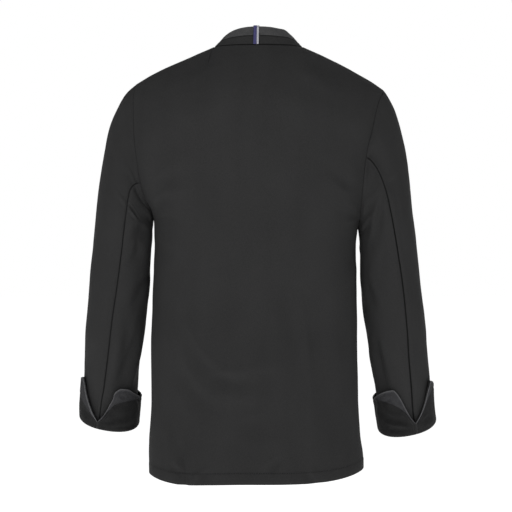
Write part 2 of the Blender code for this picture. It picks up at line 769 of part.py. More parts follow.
def add_button(name, material, centre, normal):
    """Round button with a raised rim, flat on the cloth."""
    sides = 16
    across = unit(np.cross(normal, [0.0, 0.0, 1.0]))
    upward = np.cross(normal, across)
    profile = [
        (0.86, 0.0), (1.0, 0.22), (1.0, 0.72), (0.93, 1.0), (0.78, 0.97), (0.68, 0.78),
    ]
    vertices = []
    for radius, height in profile:
        for i in range(sides):
            turn = 2 * math.pi * i / sides
            ring = across * math.cos(turn) + upward * math.sin(turn)
            vertices.append(centre + ring * radius * BUTTON_RADIUS + normal * height * BUTTON_THICK)
    faces = [tuple(range(sides))[::-1]]
    for level in range(len(profile) - 1):
        for i in range(sides):
            a, b = level * sides + i, level * sides + (i + 1) % sides
            faces.append((a, b, b + sides, a + sides))
    last = (len(profile) - 1) * sides
    faces.append(tuple(range(last, last + sides)))
    if np.dot(np.cross(across, upward), normal) < 0:
        faces = [face[::-1] for face in faces]
    return add_object(name, np.array(vertices) * MM, faces, material)


def depth_at(grid, x, height):
    """How far forward or back a grid lies at a place across and up."""
    heights = [np.interp(-x, -line[:, 0], line[:, 2]) for line in grid]
    depths = [np.interp(-x, -line[:, 0], line[:, 1]) for line in grid]
    return np.array([x, np.interp(-height, -np.array(heights), depths), height])


def button_seat(grid, x, height):
    """Point just clear of the left front, and its outward normal, for a button."""
    reach = BUTTON_RADIUS
    across = depth_at(grid, x + reach, height) - depth_at(grid, x - reach, height)
    upward = depth_at(grid, x, height + reach) - depth_at(grid, x, height - reach)
    normal = unit(np.cross(across, upward))
    centre = depth_at(grid, x, height)
    proud = 0.0
    for i in range(16):
        turn = 2 * math.pi * i / 16
        rim = depth_at(grid, x + reach * math.cos(turn), height + reach * math.sin(turn))
        proud = max(proud, float(np.dot(rim - centre, normal)))
    return centre + normal * (SEAM_GAP + proud), normal


def build():
    black = make_material("black_twill", BLACK, 0.85)
    grey = make_material("grey_twill", GREY, 0.85)
    tape = make_material("striped_tape", INDIGO, 0.7)
    plastic = make_material("button_plastic", BLACK, 0.35)

    shell = {"back": back_grid()[:, ::-1]}
    shell["front_left"] = front_grid("left")
    shell["front_right"] = front_grid("right")
    for side in ("left", "right"):
        for piece in ("upper", "under"):
            shell[f"sleeve_{piece}_{side}"] = sleeve_grid(side, piece)
    shell["collar_stand"] = collar_grid(0.0, COLLAR_SPLIT)
    shell["collar_band"] = collar_grid(COLLAR_SPLIT, 1.0)
    for name, grid in shell.items():
        if needs_flip(name, grid):
            shell[name] = grid[:, ::-1]
    normals, folded = seam_normals(shell)
    for name, grid in shell.items():
        wall = COLLAR_WALL if name.startswith("collar") else WALL
        material = grey if name == "collar_band" else black
        add_wall(name, grid, normals[name], folded[name], wall, material)

    trims = {}
    for side in ("left", "right"):
        trims[f"cuff_{side}"] = (cuff_grid(side), WALL, black)
        for flap in ("inner", "outer"):
            trims[f"cuff_facing_{side}_{flap}"] = (facing_grid(side, flap), TRIM_WALL, grey)
    trims["collar_tape"] = (tape_grid(), TRIM_WALL, tape)
    for name, (grid, wall, material) in trims.items():
        if needs_flip(name, grid):
            grid = grid[:, ::-1]
        add_wall(name, grid, unit(grid_normals(grid)), 0.0, wall, material)

    top_front = front_grid("left")
    for column, sign in SIGN.items():
        for number, height in enumerate(BUTTON_HEIGHTS, start=1):
            seat, normal = button_seat(top_front, sign * BUTTON_COLUMN, height)
            add_button(f"button_{column}_{number}", plastic, seat, normal)


def needs_flip(name, grid):
    """True where a grid's normals point into the garment."""
    normal = grid_normals(grid)
    centre = grid.reshape(-1, 3).mean(axis=0)
    if name in ("back", "collar_tape"):
        return bool(normal[:, :, 1].sum() < 0)
    if name.startswith("front"):
        return bool(normal[:, :, 1].sum() > 0)
    if name.startswith("sleeve_upper"):
        return bool((normal[:, :, 0] * np.sign(centre[0])).sum() < 0)
    if name.startswith("sleeve_under"):
        return bool((normal[:, :, 0] * np.sign(centre[0])).sum() > 0)
    return bool((normal * (grid - centre)).sum() < 0)


for item in list(bpy.data.objects):
    bpy.data.objects.remove(item, do_unlink=True)

build()
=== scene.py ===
"""Looks of a chef jacket that stands filled out with no wearer in it.

Each cloth piece is a thin shell on the form of its solid, with the creases that the
cloth has when worn, sewn edges, stitches and a woven finish. Lengths are millimetres
up to the point where a mesh is made, and heights are measured from the neck.
+X is the wearer's left, +Y the back, +Z up.
"""

import math

import bmesh
import bpy
import numpy as np
from mathutils import Matrix, Vector


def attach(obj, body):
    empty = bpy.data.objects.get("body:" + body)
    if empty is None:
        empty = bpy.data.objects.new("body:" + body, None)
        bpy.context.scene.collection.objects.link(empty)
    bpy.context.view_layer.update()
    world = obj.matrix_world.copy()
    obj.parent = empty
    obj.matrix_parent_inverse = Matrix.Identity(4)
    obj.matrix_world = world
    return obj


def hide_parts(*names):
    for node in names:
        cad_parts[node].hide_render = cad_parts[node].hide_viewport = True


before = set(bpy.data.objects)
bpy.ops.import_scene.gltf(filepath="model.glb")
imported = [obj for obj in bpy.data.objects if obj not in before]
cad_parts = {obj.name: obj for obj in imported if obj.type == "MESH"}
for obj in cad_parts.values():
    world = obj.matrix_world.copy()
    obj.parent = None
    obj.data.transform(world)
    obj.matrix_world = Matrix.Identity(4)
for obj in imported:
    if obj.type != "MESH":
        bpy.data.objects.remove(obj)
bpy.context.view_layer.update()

MM = 0.001

# ---------------------------------------------------------------- camera

CAMERA_AWAY = 2.4         # metres behind the jacket
CAMERA_HEIGHT = -0.358
CAMERA_ASIDE = 0.0012
FRAME_WIDTH = 0.8806      # metres across the view at the jacket
SENSOR_MM = 36.0


def add_object(name, data):
    item = bpy.data.objects.new(name, data)
    bpy.context.scene.collection.objects.link(item)
    return item


def add_camera():
    data = bpy.data.cameras.new("camera")
    data.sensor_width = SENSOR_MM
    data.lens = SENSOR_MM * CAMERA_AWAY / FRAME_WIDTH
    camera = add_object("camera", data)
    camera.location = (CAMERA_ASIDE, CAMERA_AWAY, CAMERA_HEIGHT)
    camera.rotation_euler = (math.pi / 2, 0, math.pi)
    bpy.context.scene.camera = camera


add_camera()

# ---------------------------------------------------------------- sizes of the form

WALL = 1.6                # shell fabric with its turnings
COLLAR_WALL = 2.0
TRIM_WALL = 1.0           # facing strips and tape
SEAM_GAP = 0.3

ARM_ROWS = 12             # rows from the shoulder to the armpit
BODY_ROWS = 10            # rows from the armpit to the hem
NECK_SHARE = 0.5          # part of a panel's columns that start at the neckline

SQUARENESS = 2.35         # exponent of the body's flattened round
NECK_CENTRE = -3.0
NECK_HALF_WIDTH = 76.0
NECK_BACK = 66.0
NECK_FRONT = 74.0
NECK_BACK_DROP = 4.2
NECK_FRONT_DROP = 54.0
NECK_FRONT_CURVE = 2.2
ROUND_AT_NECK = 140.0     # height over which the shoulder rounds off
ROUND_AT_SHOULDER = 100.0
ARMHOLE_BACK = 62.0
ARMHOLE_FRONT = 56.0
HEM = -733.0
HEM_REACH = 180.0         # from the centre to where the hem's rise is full
WAIST_OUT = 174.0
CHEST_OUT = 216.0
WAIST_TOP = -440.0
CHEST_TOP = -150.0
FRONT_LAP = 80.0
FRONT_LAP_TOP = 50.0
LAP_DROP = 7.0
LAP_DEPTH = 2.6
UNDERLAP_TOP = -76.0      # where the under front starts to lie deeper, at the neck
UNDERLAP = -112.0         # the same further down

COLLAR_BACK_HEIGHT = 32.7
COLLAR_SIDE_HEIGHT = 18.5
COLLAR_FRONT_HEIGHT = 22.0
COLLAR_PEAK = 2.0         # the collar stands a little higher at the right of the back
COLLAR_PEAK_ANGLE = -47.0
COLLAR_BACK_LEAN = 12.0
COLLAR_SIDE_LEAN = 17.0
COLLAR_SPLIT = 0.49
COLLAR_END = 5.0
TAPE_WIDTH = 10.0
TAPE_ASIDE = (4.2, 3.5)   # from the centre to the tape, at its foot and at its top

SLEEVE_SQUARENESS = 2.2
FRONT_SEAM = 105.0
SLEEVE_END = 14.0
CUFF_RING = 41.0          # sleeve length between two rings at the cuff
CUFF_STAND = 7.2
CUFF_STAND_TOP = 5.6
CUFF_FULL_HEIGHT = 75.0
CUFF_LOWEST = 4.4
FOLD_START = 1.6


def pchip(keys, values, key):
    """Smooth curve through the rows that never overshoots between two of them."""
    step = np.diff(keys)
    slope = np.diff(values) / step
    before, after = slope[:-1], slope[1:]
    same = before * after > 0
    w1, w2 = 2 * step[1:] + step[:-1], step[1:] + 2 * step[:-1]
    inner = (w1 + w2) / (w1 / np.where(same, before, 1.0) + w2 / np.where(same, after, 1.0))
    tangent = np.concatenate([slope[:1], np.where(same, inner, 0.0), slope[-1:]])
    key = np.clip(np.asarray(key, float), keys[0], keys[-1])
    i = np.clip(np.searchsorted(keys, key, side="right") - 1, 0, len(step) - 1)
    t = (key - keys[i]) / step[i]
    low = values[i] * (1 + 2 * t) * (1 - t) ** 2 + tangent[i] * step[i] * t * (1 - t) ** 2
    high = values[i + 1] * t * t * (3 - 2 * t) + tangent[i + 1] * step[i] * t * t * (t - 1)
    return low + high


class Table:
    """Rows of numbers with named columns; the first column is the key."""

    def __init__(self, names, rows):
        self.names = names.split()
        self.rows = np.array(rows, float)
        self.end = self.rows[-1, 0]

    def at(self, name, key):
        return pchip(self.rows[:, 0], self.rows[:, self.names.index(name)], key)


def both(names, left, right):
    return {"left": Table(names, left), "right": Table(names, right)}


DEPTH = Table("height back front", [
    (-745, 116, 124), (-600, 108, 120), (-450, 104, 118), (-300, 112, 127), (-150, 116, 120),
    (-60, 112, 108), (10, 110, 104),
])
EDGE = both("height out", [
    (-745, 182), (-657, 182.6), (-605, 181), (-519, 181.8), (-433, 178.8), (-340, 175.4), (-292, 176.4),
    (-284, 178), (-254, 191), (-222, 198), (-192, 202), (-156, 206), (-84, 208.5), (-64, 207.5),
], [
    (-745, 180), (-709, 182), (-657, 177), (-605, 174), (-519, 173), (-433, 172), (-340, 170.5),
    (-311, 173.5), (-275, 176), (-232, 179), (-181, 185), (-151, 193), (-99, 206), (-74, 218.5),
])
RIDGE = both("out height", [
    (73, 0), (113, -18.6), (155, -36.1), (182, -48.8), (208, -64),
], [
    (79, 0), (107, -12.2), (134, -26.8), (162, -41.3), (189, -55.6), (219, -74),
])
SHOULDER = {"left": -64.0, "right": -74.0}
ARMPIT = {"left": -292.0, "right": -311.0}
FRONT_INSET = {"left": 14.0, "right": 6.0}
HEM_RISE = {"left": 4.2, "right": 13.0}
HEM_SAG = {"left": 5.1, "right": 2.6}
SIGN = {"left": 1.0, "right": -1.0}

SLEEVE = both("ring out_x out_z in_x in_z seam", [
    (0, 207.5, -64, 176, -292, 120),
    (1, 224, -79, 176.8, -294, 117),
    (2, 239, -105, 177.6, -298, 112),
    (3, 252.8, -139, 178.5, -304, 106),
    (4, 262, -177, 179.4, -313, 102),
    (5, 268.4, -220, 180.6, -327, 99),
    (6, 274, -267, 181.8, -348, 96),
    (7, 279.2, -315, 183.1, -372, 94),
    (8, 284.2, -361, 184.8, -401, 92),
    (9, 289.4, -411, 188, -436, 90),
    (10, 294.4, -462, 192, -476, 87.5),
    (11, 297.8, -513, 199.3, -521, 86),
    (12, 300, -561, 207, -568, 83),
    (13, 303, -597, 209, -606, 77.5),
    (14, 304.6, -634, 213.5, -649.5, 74.5),
    (15, 305.4, -672, 217, -688.5, 74.5),
], [
    (0, 218.5, -74, 173.5, -311, 90),
    (1, 230, -91, 174.4, -313, 88),
    (2, 242.6, -119, 175.2, -317, 86.5),
    (3, 251.6, -155, 176, -323, 85),
    (4, 257, -193, 176.8, -332, 83),
    (5, 261.5, -236, 177.5, -346, 81),
    (6, 266, -279, 178.3, -365, 79),
    (7, 273, -324, 178.6, -389, 77.5),
    (8, 278.6, -369, 181, -419, 75),
    (9, 284.2, -416, 184.8, -450, 74),
    (10, 289, -463, 190, -486, 74),
    (11, 295.2, -513, 195.2, -528, 76),
    (12, 302, -568, 204.4, -578, 78),
    (13, 304.5, -606, 211.4, -618, 78.5),
    (14, 308.4, -641.5, 219.5, -659, 78.5),
    (15, 311.4, -680.5, 225, -699, 78.5),
])
SLEEVE_DEPTH = Table("ring mid_y depth lean armhole", [
    (0, 0, 60, 0, 1),
    (1, 0, 60.5, 0, 0.9),
    (2, 0, 61, 0, 0.72),
    (3, 0, 62, 0, 0.52),
    (4, 0, 62, 0, 0.34),
    (5, -1, 62, 0.02, 0.18),
    (6, -2, 62, 0.04, 0.06),
    (7, -4, 61, 0.06, 0),
    (8, -7, 60, 0.09, 0),
    (9, -11, 58, 0.12, 0),
    (10, -17, 56, 0.16, 0),
    (11, -26, 53, 0.2, 0),
    (12, -37, 50, 0.24, 0),
    (13, -47, 48.5, 0.26, 0),
    (14, -57, 47, 0.26, 0),
    (15, -66, 46, 0.26, 0),
])
VENT = {
    "inner": both("height angle", [
        (0, 74.7), (9.5, 74.7), (12, 76.6), (27, 87), (45, 94), (58, 99.5), (68, 101.5), (76, 111),
    ], [
        (0, 78.2), (17, 78.2), (19.5, 80.0), (36, 88), (51, 92.5), (66, 98), (76, 103), (83, 109),
    ]),
    "outer": both("height angle", [
        (0, 74.7), (9.5, 74.7), (12, 72.9), (24, 64), (40, 54.5), (55, 46.5), (71, 39), (84, 30),
    ], [
        (0, 78.2), (17, 78.2), (19.5, 76.5), (32, 67), (47, 57), (61, 50), (71, 45), (85, 33),
    ]),
}
CUFF_EDGE = both("angle height", [
    (111, 76), (127, 73), (146, 60.5), (180, 45.5), (225, 43), (270, 46), (360, 69), (378, 79),
    (390, 84),
], [
    (109, 83), (121, 81), (136, 75.5), (152, 67), (180, 55), (225, 51.5), (270, 53), (350, 66),
    (375, 78), (393, 85),
])
FACING = {
    "inner": both("along angle height", [
        (0, 79, 13), (0.25, 92, 33), (0.45, 103, 45), (0.65, 121, 49.5), (0.85, 146, 49),
        (1, 165, 45.5),
    ], [
        (0, 82, 21.5), (0.25, 93, 41.5), (0.45, 103, 51), (0.65, 119, 59), (0.85, 143, 61.5),
        (1, 162, 57.5),
    ]),
    "outer": both("along angle height", [
        (0, 70, 13.5), (0.4, 49, 31), (0.7, 33, 41), (1, 16, 50),
    ], [
        (0, 73.5, 21.5), (0.4, 56, 44), (0.7, 43, 60), (1, 26, 73),
    ]),
}
FACING_BEND = {"inner": 0.5, "outer": 0.9}    # part of a facing that runs up the vent


def smooth(t):
    t = np.clip(t, 0.0, 1.0)
    return t * t * (3 - 2 * t)


def mix(a, b, t):
    return a + (b - a) * t


def stack(*parts):
    return np.stack(np.broadcast_arrays(*parts), axis=-1).astype(float)


def unit(vectors):
    return vectors / np.maximum(np.linalg.norm(vectors, axis=-1, keepdims=True), 1e-9)


def either(where, a, b):
    """Points from a where the mask holds, and from b elsewhere."""
    return np.where(where[..., None], a, b)


def dent(distance, width=0.8):
    """1 on a line, falling off over a width on both sides of it."""
    return np.exp(-(distance / width) ** 2)


# ---------------------------------------------------------------- form of the body

def rounding(s):
    """Depth kept at s of the way down the shoulder's rounding."""
    return np.sqrt(np.clip(1 - (1 - np.clip(s, 0, 1)) ** 2, 0, 1))


def bulge(part):
    """Depth of the body's flattened round at a part of its half-width."""
    return (1 - part ** SQUARENESS) ** (1 / SQUARENESS)


def even_fraction(u):
    """Part of the half-width at u of the way round a quarter of the body."""
    turn = np.linspace(0, math.pi / 2, 721)
    x, y = np.sin(turn) ** (2 / SQUARENESS), np.cos(turn) ** (2 / SQUARENESS) * 0.64
    length = np.concatenate([[0], np.cumsum(np.hypot(np.diff(x), np.diff(y)))])
    return np.interp(np.asarray(u) * length[-1], length, x)


def armhole_turn(row):
    return math.pi * np.clip(row, 0, ARM_ROWS) / ARM_ROWS


def edge_height(side, row):
    """Height of the body's edge: down the armhole, then down the side seam."""
    middle = (SHOULDER[side] + ARMPIT[side]) / 2
    armhole = middle + (SHOULDER[side] - ARMPIT[side]) / 2 * np.cos(armhole_turn(row))
    seam = mix(ARMPIT[side], HEM + HEM_RISE[side], (row - ARM_ROWS) / BODY_ROWS)
    return np.where(row <= ARM_ROWS, armhole, seam)


def edge_out(side, face, row):
    out = EDGE[side].at("out", edge_height(side, row))
    return out - (face < 0) * FRONT_INSET[side] * np.sin(armhole_turn(row)) ** 2


def face_depth(face, height):
    return DEPTH.at("back" if face > 0 else "front", height)


def full_out(side, face, row):
    """Half-width of the whole round that the armhole cuts off."""
    out = edge_out(side, face, row)
    above = np.clip(row, 0.01, ARM_ROWS)
    height = edge_height(side, above)
    edge = (ARMHOLE_BACK if face > 0 else ARMHOLE_FRONT) * np.sin(armhole_turn(above))
    kept = rounding((SHOULDER[side] - height) / ROUND_AT_SHOULDER)
    return np.where(row >= ARM_ROWS, out, out / bulge(edge / (face_depth(face, height) * kept)))


def round_out(side, face, row, x, height):
    """Half-width of the round at x: even in the middle, the armhole's at the edge."""
    middle = mix(WAIST_OUT, CHEST_OUT, smooth((height - WAIST_TOP) / (CHEST_TOP - WAIST_TOP)))
    share = smooth((np.abs(x) / edge_out(side, face, row) - 0.45) / 0.5)
    near_top = smooth(row / 3) * smooth((ARM_ROWS + BODY_ROWS / 2 - row) / 3)
    return mix(full_out(side, face, row), middle, (1 - share) * near_top)


def neck_point(face, angle):
    """Neckline at an angle from the centre, towards the wearer's left."""
    cosine = np.cos(angle)
    depth = NECK_BACK if face > 0 else NECK_FRONT
    drop = NECK_BACK_DROP * cosine if face > 0 else NECK_FRONT_DROP * cosine ** NECK_FRONT_CURVE
    return stack(NECK_CENTRE + NECK_HALF_WIDTH * np.sin(angle), face * depth * cosine, -drop)


def column_top(side, face, top_x):
    """Height of the panel's top edge, and how far down the rounding it lies."""
    from_neck = (top_x - NECK_CENTRE) / NECK_HALF_WIDTH
    point = neck_point(face, np.arcsin(np.clip(from_neck, -1, 1)))
    part = np.minimum(np.abs(top_x) / full_out(side, face, 0.0), 1)
    full = face_depth(face, point[..., 2]) * bulge(part)
    at_neck = np.abs(from_neck) < 1
    height = np.where(at_neck, point[..., 2], RIDGE[side].at("height", np.abs(top_x)))
    kept = np.minimum(np.abs(point[..., 1]) / full, 1.0)
    return height, np.where(at_neck, 1 - np.sqrt(np.clip(1 - kept ** 2, 0, 1)), 0.0)


def body_point(side, face, row, x, top_x, drop=0.0):
    """Point of the body in the column that starts at top_x of the top edge."""
    reach = top_x / edge_out(side, face, 0.0)
    top, start = column_top(side, face, top_x)
    armpit = mix(ARMPIT["right"], ARMPIT["left"], (reach + 1) / 2)
    aside = np.minimum(np.abs(x) / HEM_REACH, 1)
    hem = HEM + HEM_RISE[side] * aside ** 2.5 - HEM_SAG[side] * np.sin(math.pi * aside ** 2.2)
    down = (1 - np.cos(armhole_turn(row))) / 2
    low = mix(armpit, hem, (row - ARM_ROWS) / BODY_ROWS)
    height = np.where(row <= ARM_ROWS, mix(top - drop, armpit, down), low)
    part = np.minimum(np.abs(x) / round_out(side, face, row, x, height), 1)
    span = mix(ROUND_AT_NECK, ROUND_AT_SHOULDER, np.abs(reach))
    kept = rounding(start + (top - height) / span)
    return stack(x, face * face_depth(face, height) * bulge(part) * kept, height)


def top_x_of(u, side):
    """Where column u, 0 at the centre and 1 at the armhole, starts."""
    reach = SIGN[side] * NECK_HALF_WIDTH
    at_neck = NECK_CENTRE + reach * np.sin(math.pi / 2 * np.minimum(u / NECK_SHARE, 1))
    shoulder = SIGN[side] * edge_out(side, 1, 0.0)
    beyond = mix(NECK_CENTRE + reach, shoulder, (u - NECK_SHARE) / (1 - NECK_SHARE))
    return np.where(u <= NECK_SHARE, at_neck, beyond)


def column_x(u, side, face, row):
    """Columns keep their share of the width, evened out on the way down to the armpit."""
    top_share = top_x_of(u, side) / edge_out(side, face, 0.0)
    low_share = SIGN[side] * even_fraction(u)
    return edge_out(side, face, row) * mix(top_share, low_share, smooth(row / ARM_ROWS))


def panel_point(u, side, face, row):
    return body_point(side, face, row, column_x(u, side, face, row), top_x_of(u, side))


def column_under(x, side, row):
    """Which column of the other front lies at x, so that the laps share a form."""
    shares = np.linspace(0, 1, 201)
    across = [np.abs(column_x(shares, side, -1, one)) for one in row]
    return np.array([np.interp(at, each, shares) for at, each in zip(x, across)])


def front_form(side, across, row):
    """One front, across from 1 at its armhole, 0 at the centre, to -1 at its free edge."""
    other = "right" if side == "left" else "left"
    own = panel_point(np.clip(across, 0, 1), side, -1, row)
    line = row[:, 0]
    last = column_under(mix(FRONT_LAP_TOP, FRONT_LAP, smooth(line / 6)), other, line)[:, None]
    part = np.clip(-across, 0, 1)
    u = last * part
    drop = LAP_DROP * smooth(part * 2.4)
    lap = body_point(other, -1, row, column_x(u, other, -1, row), top_x_of(u, other), drop)
    points = either(across >= 0, own, lap)
    if side == "left":
        return points
    begin = mix(UNDERLAP_TOP, UNDERLAP, smooth(row / 6))
    at_top = mix(smooth(row / 0.6), 1.0, smooth(1 - across / 0.1))
    return push(points, -LAP_DEPTH * smooth((points[..., 0] - begin) / 24.0) * at_top, FORWARD)


# ---------------------------------------------------------------- form of the sleeves

def armhole_point(side, angle):
    """Armhole seam at an angle from the shoulder point, over the back, as on the left."""
    turn = np.arccos(np.clip(np.cos(angle), -1, 1))
    row = turn / math.pi * ARM_ROWS
    height = edge_height(side, row)
    back = stack(edge_out(side, 1, row), ARMHOLE_BACK * np.sin(turn), height)
    front = stack(edge_out(side, -1, row), -ARMHOLE_FRONT * np.sin(turn), height)
    return either(np.sin(angle) >= 0, back, front)


def plain_ring(side, ring, angle):
    """Sleeve ring as a leaning oval, before the armhole pulls it into shape."""
    out_x, out_z, in_x, in_z = [SLEEVE[side].at(name, ring) for name in ("out_x", "out_z", "in_x", "in_z")]
    mid_y, depth, lean = [SLEEVE_DEPTH.at(name, ring) for name in ("mid_y", "depth", "lean")]
    cosine, sine = np.cos(angle), np.sin(angle)
    along = np.sign(cosine) * np.abs(cosine) ** (2 / SLEEVE_SQUARENESS)
    across = np.sign(sine) * np.abs(sine) ** (2 / SLEEVE_SQUARENESS) * depth
    return stack((out_x + in_x) / 2 + (out_x - in_x) / 2 * along, mid_y + across,
                 (out_z + in_z) / 2 + (out_z - in_z) / 2 * along - lean * across)


def sleeve_point(side, ring, angle):
    follow = SLEEVE_DEPTH.at("armhole", ring)[..., None]
    pull = armhole_point(side, angle) - plain_ring(side, np.zeros_like(ring), angle)
    return (plain_ring(side, ring, angle) + follow * pull) * np.array([SIGN[side], 1, 1])


def sleeve_normal(side, ring, angle):
    """Outward normal and downward direction of the sleeve."""
    step = 0.02
    down = sleeve_point(side, ring + step, angle) - sleeve_point(side, ring - step, angle)
    turn = sleeve_point(side, ring, angle + step) - sleeve_point(side, ring, angle - step)
    return unit(np.cross(down, turn) * SIGN[side]), unit(down)


def cuff_place(side, across, up):
    """Angle and height above the fold of a place on the turned-back band."""
    part = np.clip(up - 1, 0, 1)
    inner, outer = [VENT[flap][side].at("angle", part * VENT[flap][side].end) for flap in ("inner", "outer")]
    edge = CUFF_EDGE[side]
    return mix(inner, outer + 360, across), edge.at("height", mix(edge.rows[0, 0], edge.end, across)) * part


def cuff_point(side, angle, height, lift=0.0):
    """Outer face of the turned-back cuff, height above the fold in millimetres."""
    ring = SLEEVE_END - np.maximum(height, 0.0) / CUFF_RING
    turn = np.radians(angle)
    normal, _ = sleeve_normal(side, ring, turn)
    stand = mix(CUFF_STAND, CUFF_STAND_TOP, smooth(height / CUFF_FULL_HEIGHT))
    return sleeve_point(side, ring, turn) + normal * (stand + lift)[..., None]


def cuff_fold_point(side, angle, turn_back):
    """The fold, from the sleeve's inner face, 0, round to the outer face, 1."""
    turn = np.radians(angle)
    ring = np.full_like(turn, SLEEVE_END)
    normal, down = sleeve_normal(side, ring, turn)
    part = np.clip(turn_back, 0.0, 1.0)
    out = (CUFF_STAND - WALL) / 2 - (CUFF_STAND + WALL) / 2 * np.cos(math.pi * part)
    low = CUFF_LOWEST * np.sin(math.pi * part) + FOLD_START * (1 - part)
    low = np.where(turn_back < 0, mix(low, 0.0, np.minimum(-turn_back, 1)), low)
    return sleeve_point(side, ring, turn) + normal * out[..., None] + down * low[..., None]


def facing_form(side, flap, along, part):
    """Grey facing: part 0 on its seam, part 1 on the vent edge and the free edge."""
    seam, vent, bend = FACING[flap][side], VENT[flap][side], FACING_BEND[flap]
    up_vent = mix(vent.rows[1, 0], vent.end, np.minimum(along / bend, 1))
    beyond = np.clip((along - bend) / (1 - bend), 0, 1)
    far = mix(vent.at("angle", vent.end), seam.at("angle", 1.0), beyond)
    turned = far if flap == "inner" else far + 360
    edge_angle = np.where(along <= bend, vent.at("angle", up_vent), far)
    edge_up = np.where(along <= bend, up_vent, CUFF_EDGE[side].at("height", turned))
    angle = mix(seam.at("angle", along), edge_angle, part)
    height = mix(seam.at("height", along), edge_up, part)
    return cuff_point(side, angle, height, SEAM_GAP + TRIM_WALL), angle, height


# ---------------------------------------------------------------- form of the collar

def collar_point(angle, part):
    """Collar at degrees from centre back; part goes from its lower to its upper edge."""
    turn = np.radians(angle)
    in_back = np.cos(turn) >= 0
    beside = np.arcsin(np.clip(np.sin(turn), -1, 1))
    base = either(in_back, neck_point(1, beside), neck_point(-1, beside))
    sideways = np.sin(turn) ** 2
    middle = np.where(in_back, COLLAR_BACK_HEIGHT, COLLAR_FRONT_HEIGHT)
    height = mix(middle, COLLAR_SIDE_HEIGHT, sideways ** 1.3)
    height = height + COLLAR_PEAK * dent(angle - COLLAR_PEAK_ANGLE, 11)
    lean = mix(COLLAR_BACK_LEAN, COLLAR_SIDE_LEAN, sideways)
    rise = stack(-np.sin(turn) * lean, -np.cos(turn) * lean, height)
    return base + part[..., None] * rise


def tape_form(across, over):
    """Tape up the back of the collar, over its top edge and a little way down inside."""
    lift = SEAM_GAP + TRIM_WALL
    centre, top = collar_point(np.zeros(2), np.array([0.0, 1.0]))
    up = unit(top - centre)
    out = np.array([0, up[2], -up[1]])
    far = -COLLAR_WALL - lift
    path = Table("over out up", [
        (0, lift, 0.02), (1, lift, 0.97), (1.02, lift * 0.86, 1.014), (1.06, 0.0, 1.04),
        (1.1, far + lift, 1.04), (1.14, far + lift * 0.14, 1.014), (1.16, far, 0.97), (1.4, far, 0.78),
    ])
    share = path.at("up", over)
    line = share[..., None] * (top - centre) + path.at("out", over)[..., None] * out
    sideways = across * TAPE_WIDTH / 2
    aside = sideways + mix(*TAPE_ASIDE, np.clip(share, 0, 1))
    return centre + line + stack(aside, -0.002 * sideways ** 2, 0.0)


# ---------------------------------------------------------------- creases

# Soft troughs and ridges, each along a bowed line from one place to another, seen
# square to the face named first; a negative depth is a ridge.
FOLD_NAMES = "x0 z0 x1 z1 bow width depth"
FOLDS = {
    "back": Table(FOLD_NAMES, [
        (128, -452, -22, -576, -40, 10, 2.7),
        (134, -530, 44, -624, -16, 12, 2.9),
        (-56, -400, -70, -716, 5, 14, 4.0),
        (-112, -450, -132, -704, -6, 18, 1.6),
        (76, -346, 60, -452, 6, 20, 1.2),
        (118, -340, 112, -470, -7, 15, 1.0),
        (127, -658, 113, -800, 0, 5.5, 5.0),
        (140, -700, 122, -724, -2, 6, 3.6),
        (106, -728, 72, -713, 0, 5, 5.5),
        (-42, -688, -12, -726, 0, 5.5, 2.4),
        (-78, -710, -114, -748, 0, 7, 3.0),
        (160, -640, 150, -742, -3, 11, 1.6),
        (172, -240, 104, -196, -6, 12, 2.2),
        (175, -276, 126, -262, 5, 9, 1.9),
        (172, -322, 132, -368, -7, 12, 2.0),
        (-170, -248, -112, -196, 6, 12, 2.2),
        (-174, -290, -136, -296, -4, 9, 1.6),
        (-170, -338, -126, -392, 8, 13, 1.9),
        (-66, -22, -190, -84, 6, 12, 3.6),
        (-58, -58, -150, -118, -7, 15, 1.5),
        (66, -22, 150, -76, -6, 14, 1.5),
        (150, -110, 96, -250, 12, 24, 1.3),
        (-150, -130, -110, -280, -10, 22, 1.3),
        (20, -150, -10, -330, 10, 32, 1.1),
        (100, -560, -70, -548, -8, 13, 2.0),
        (40, -640, -60, -612, -7, 15, 1.2),
    ]),
    "front": Table(FOLD_NAMES, [
        (166, -262, 98, -214, -7, 12, 2.2),
        (170, -296, 112, -304, 5, 10, 1.9),
        (160, -336, 96, -402, 9, 14, 1.7),
        (-166, -270, -100, -224, 6, 12, 2.0),
        (-170, -312, -116, -330, -5, 10, 1.9),
        (-158, -352, -100, -430, -9, 16, 1.6),
        (96, -90, 150, -150, 8, 15, 1.3),
        (-96, -96, -150, -170, -7, 14, 1.4),
        (72, -250, 40, -300, 5, 12, 1.2),
        (-72, -300, -34, -348, -6, 11, 1.2),
        (120, -470, 92, -600, 10, 20, 1.8),
        (-118, -480, -96, -590, -12, 20, 1.7),
        (20, -520, -20, -660, 12, 24, 1.5),
        (140, -660, 118, -742, -4, 12, 2.2),
        (-130, -650, -112, -742, 5, 14, 1.8),
        (60, -610, -70, -626, 8, 14, 0.9),
    ]),
}
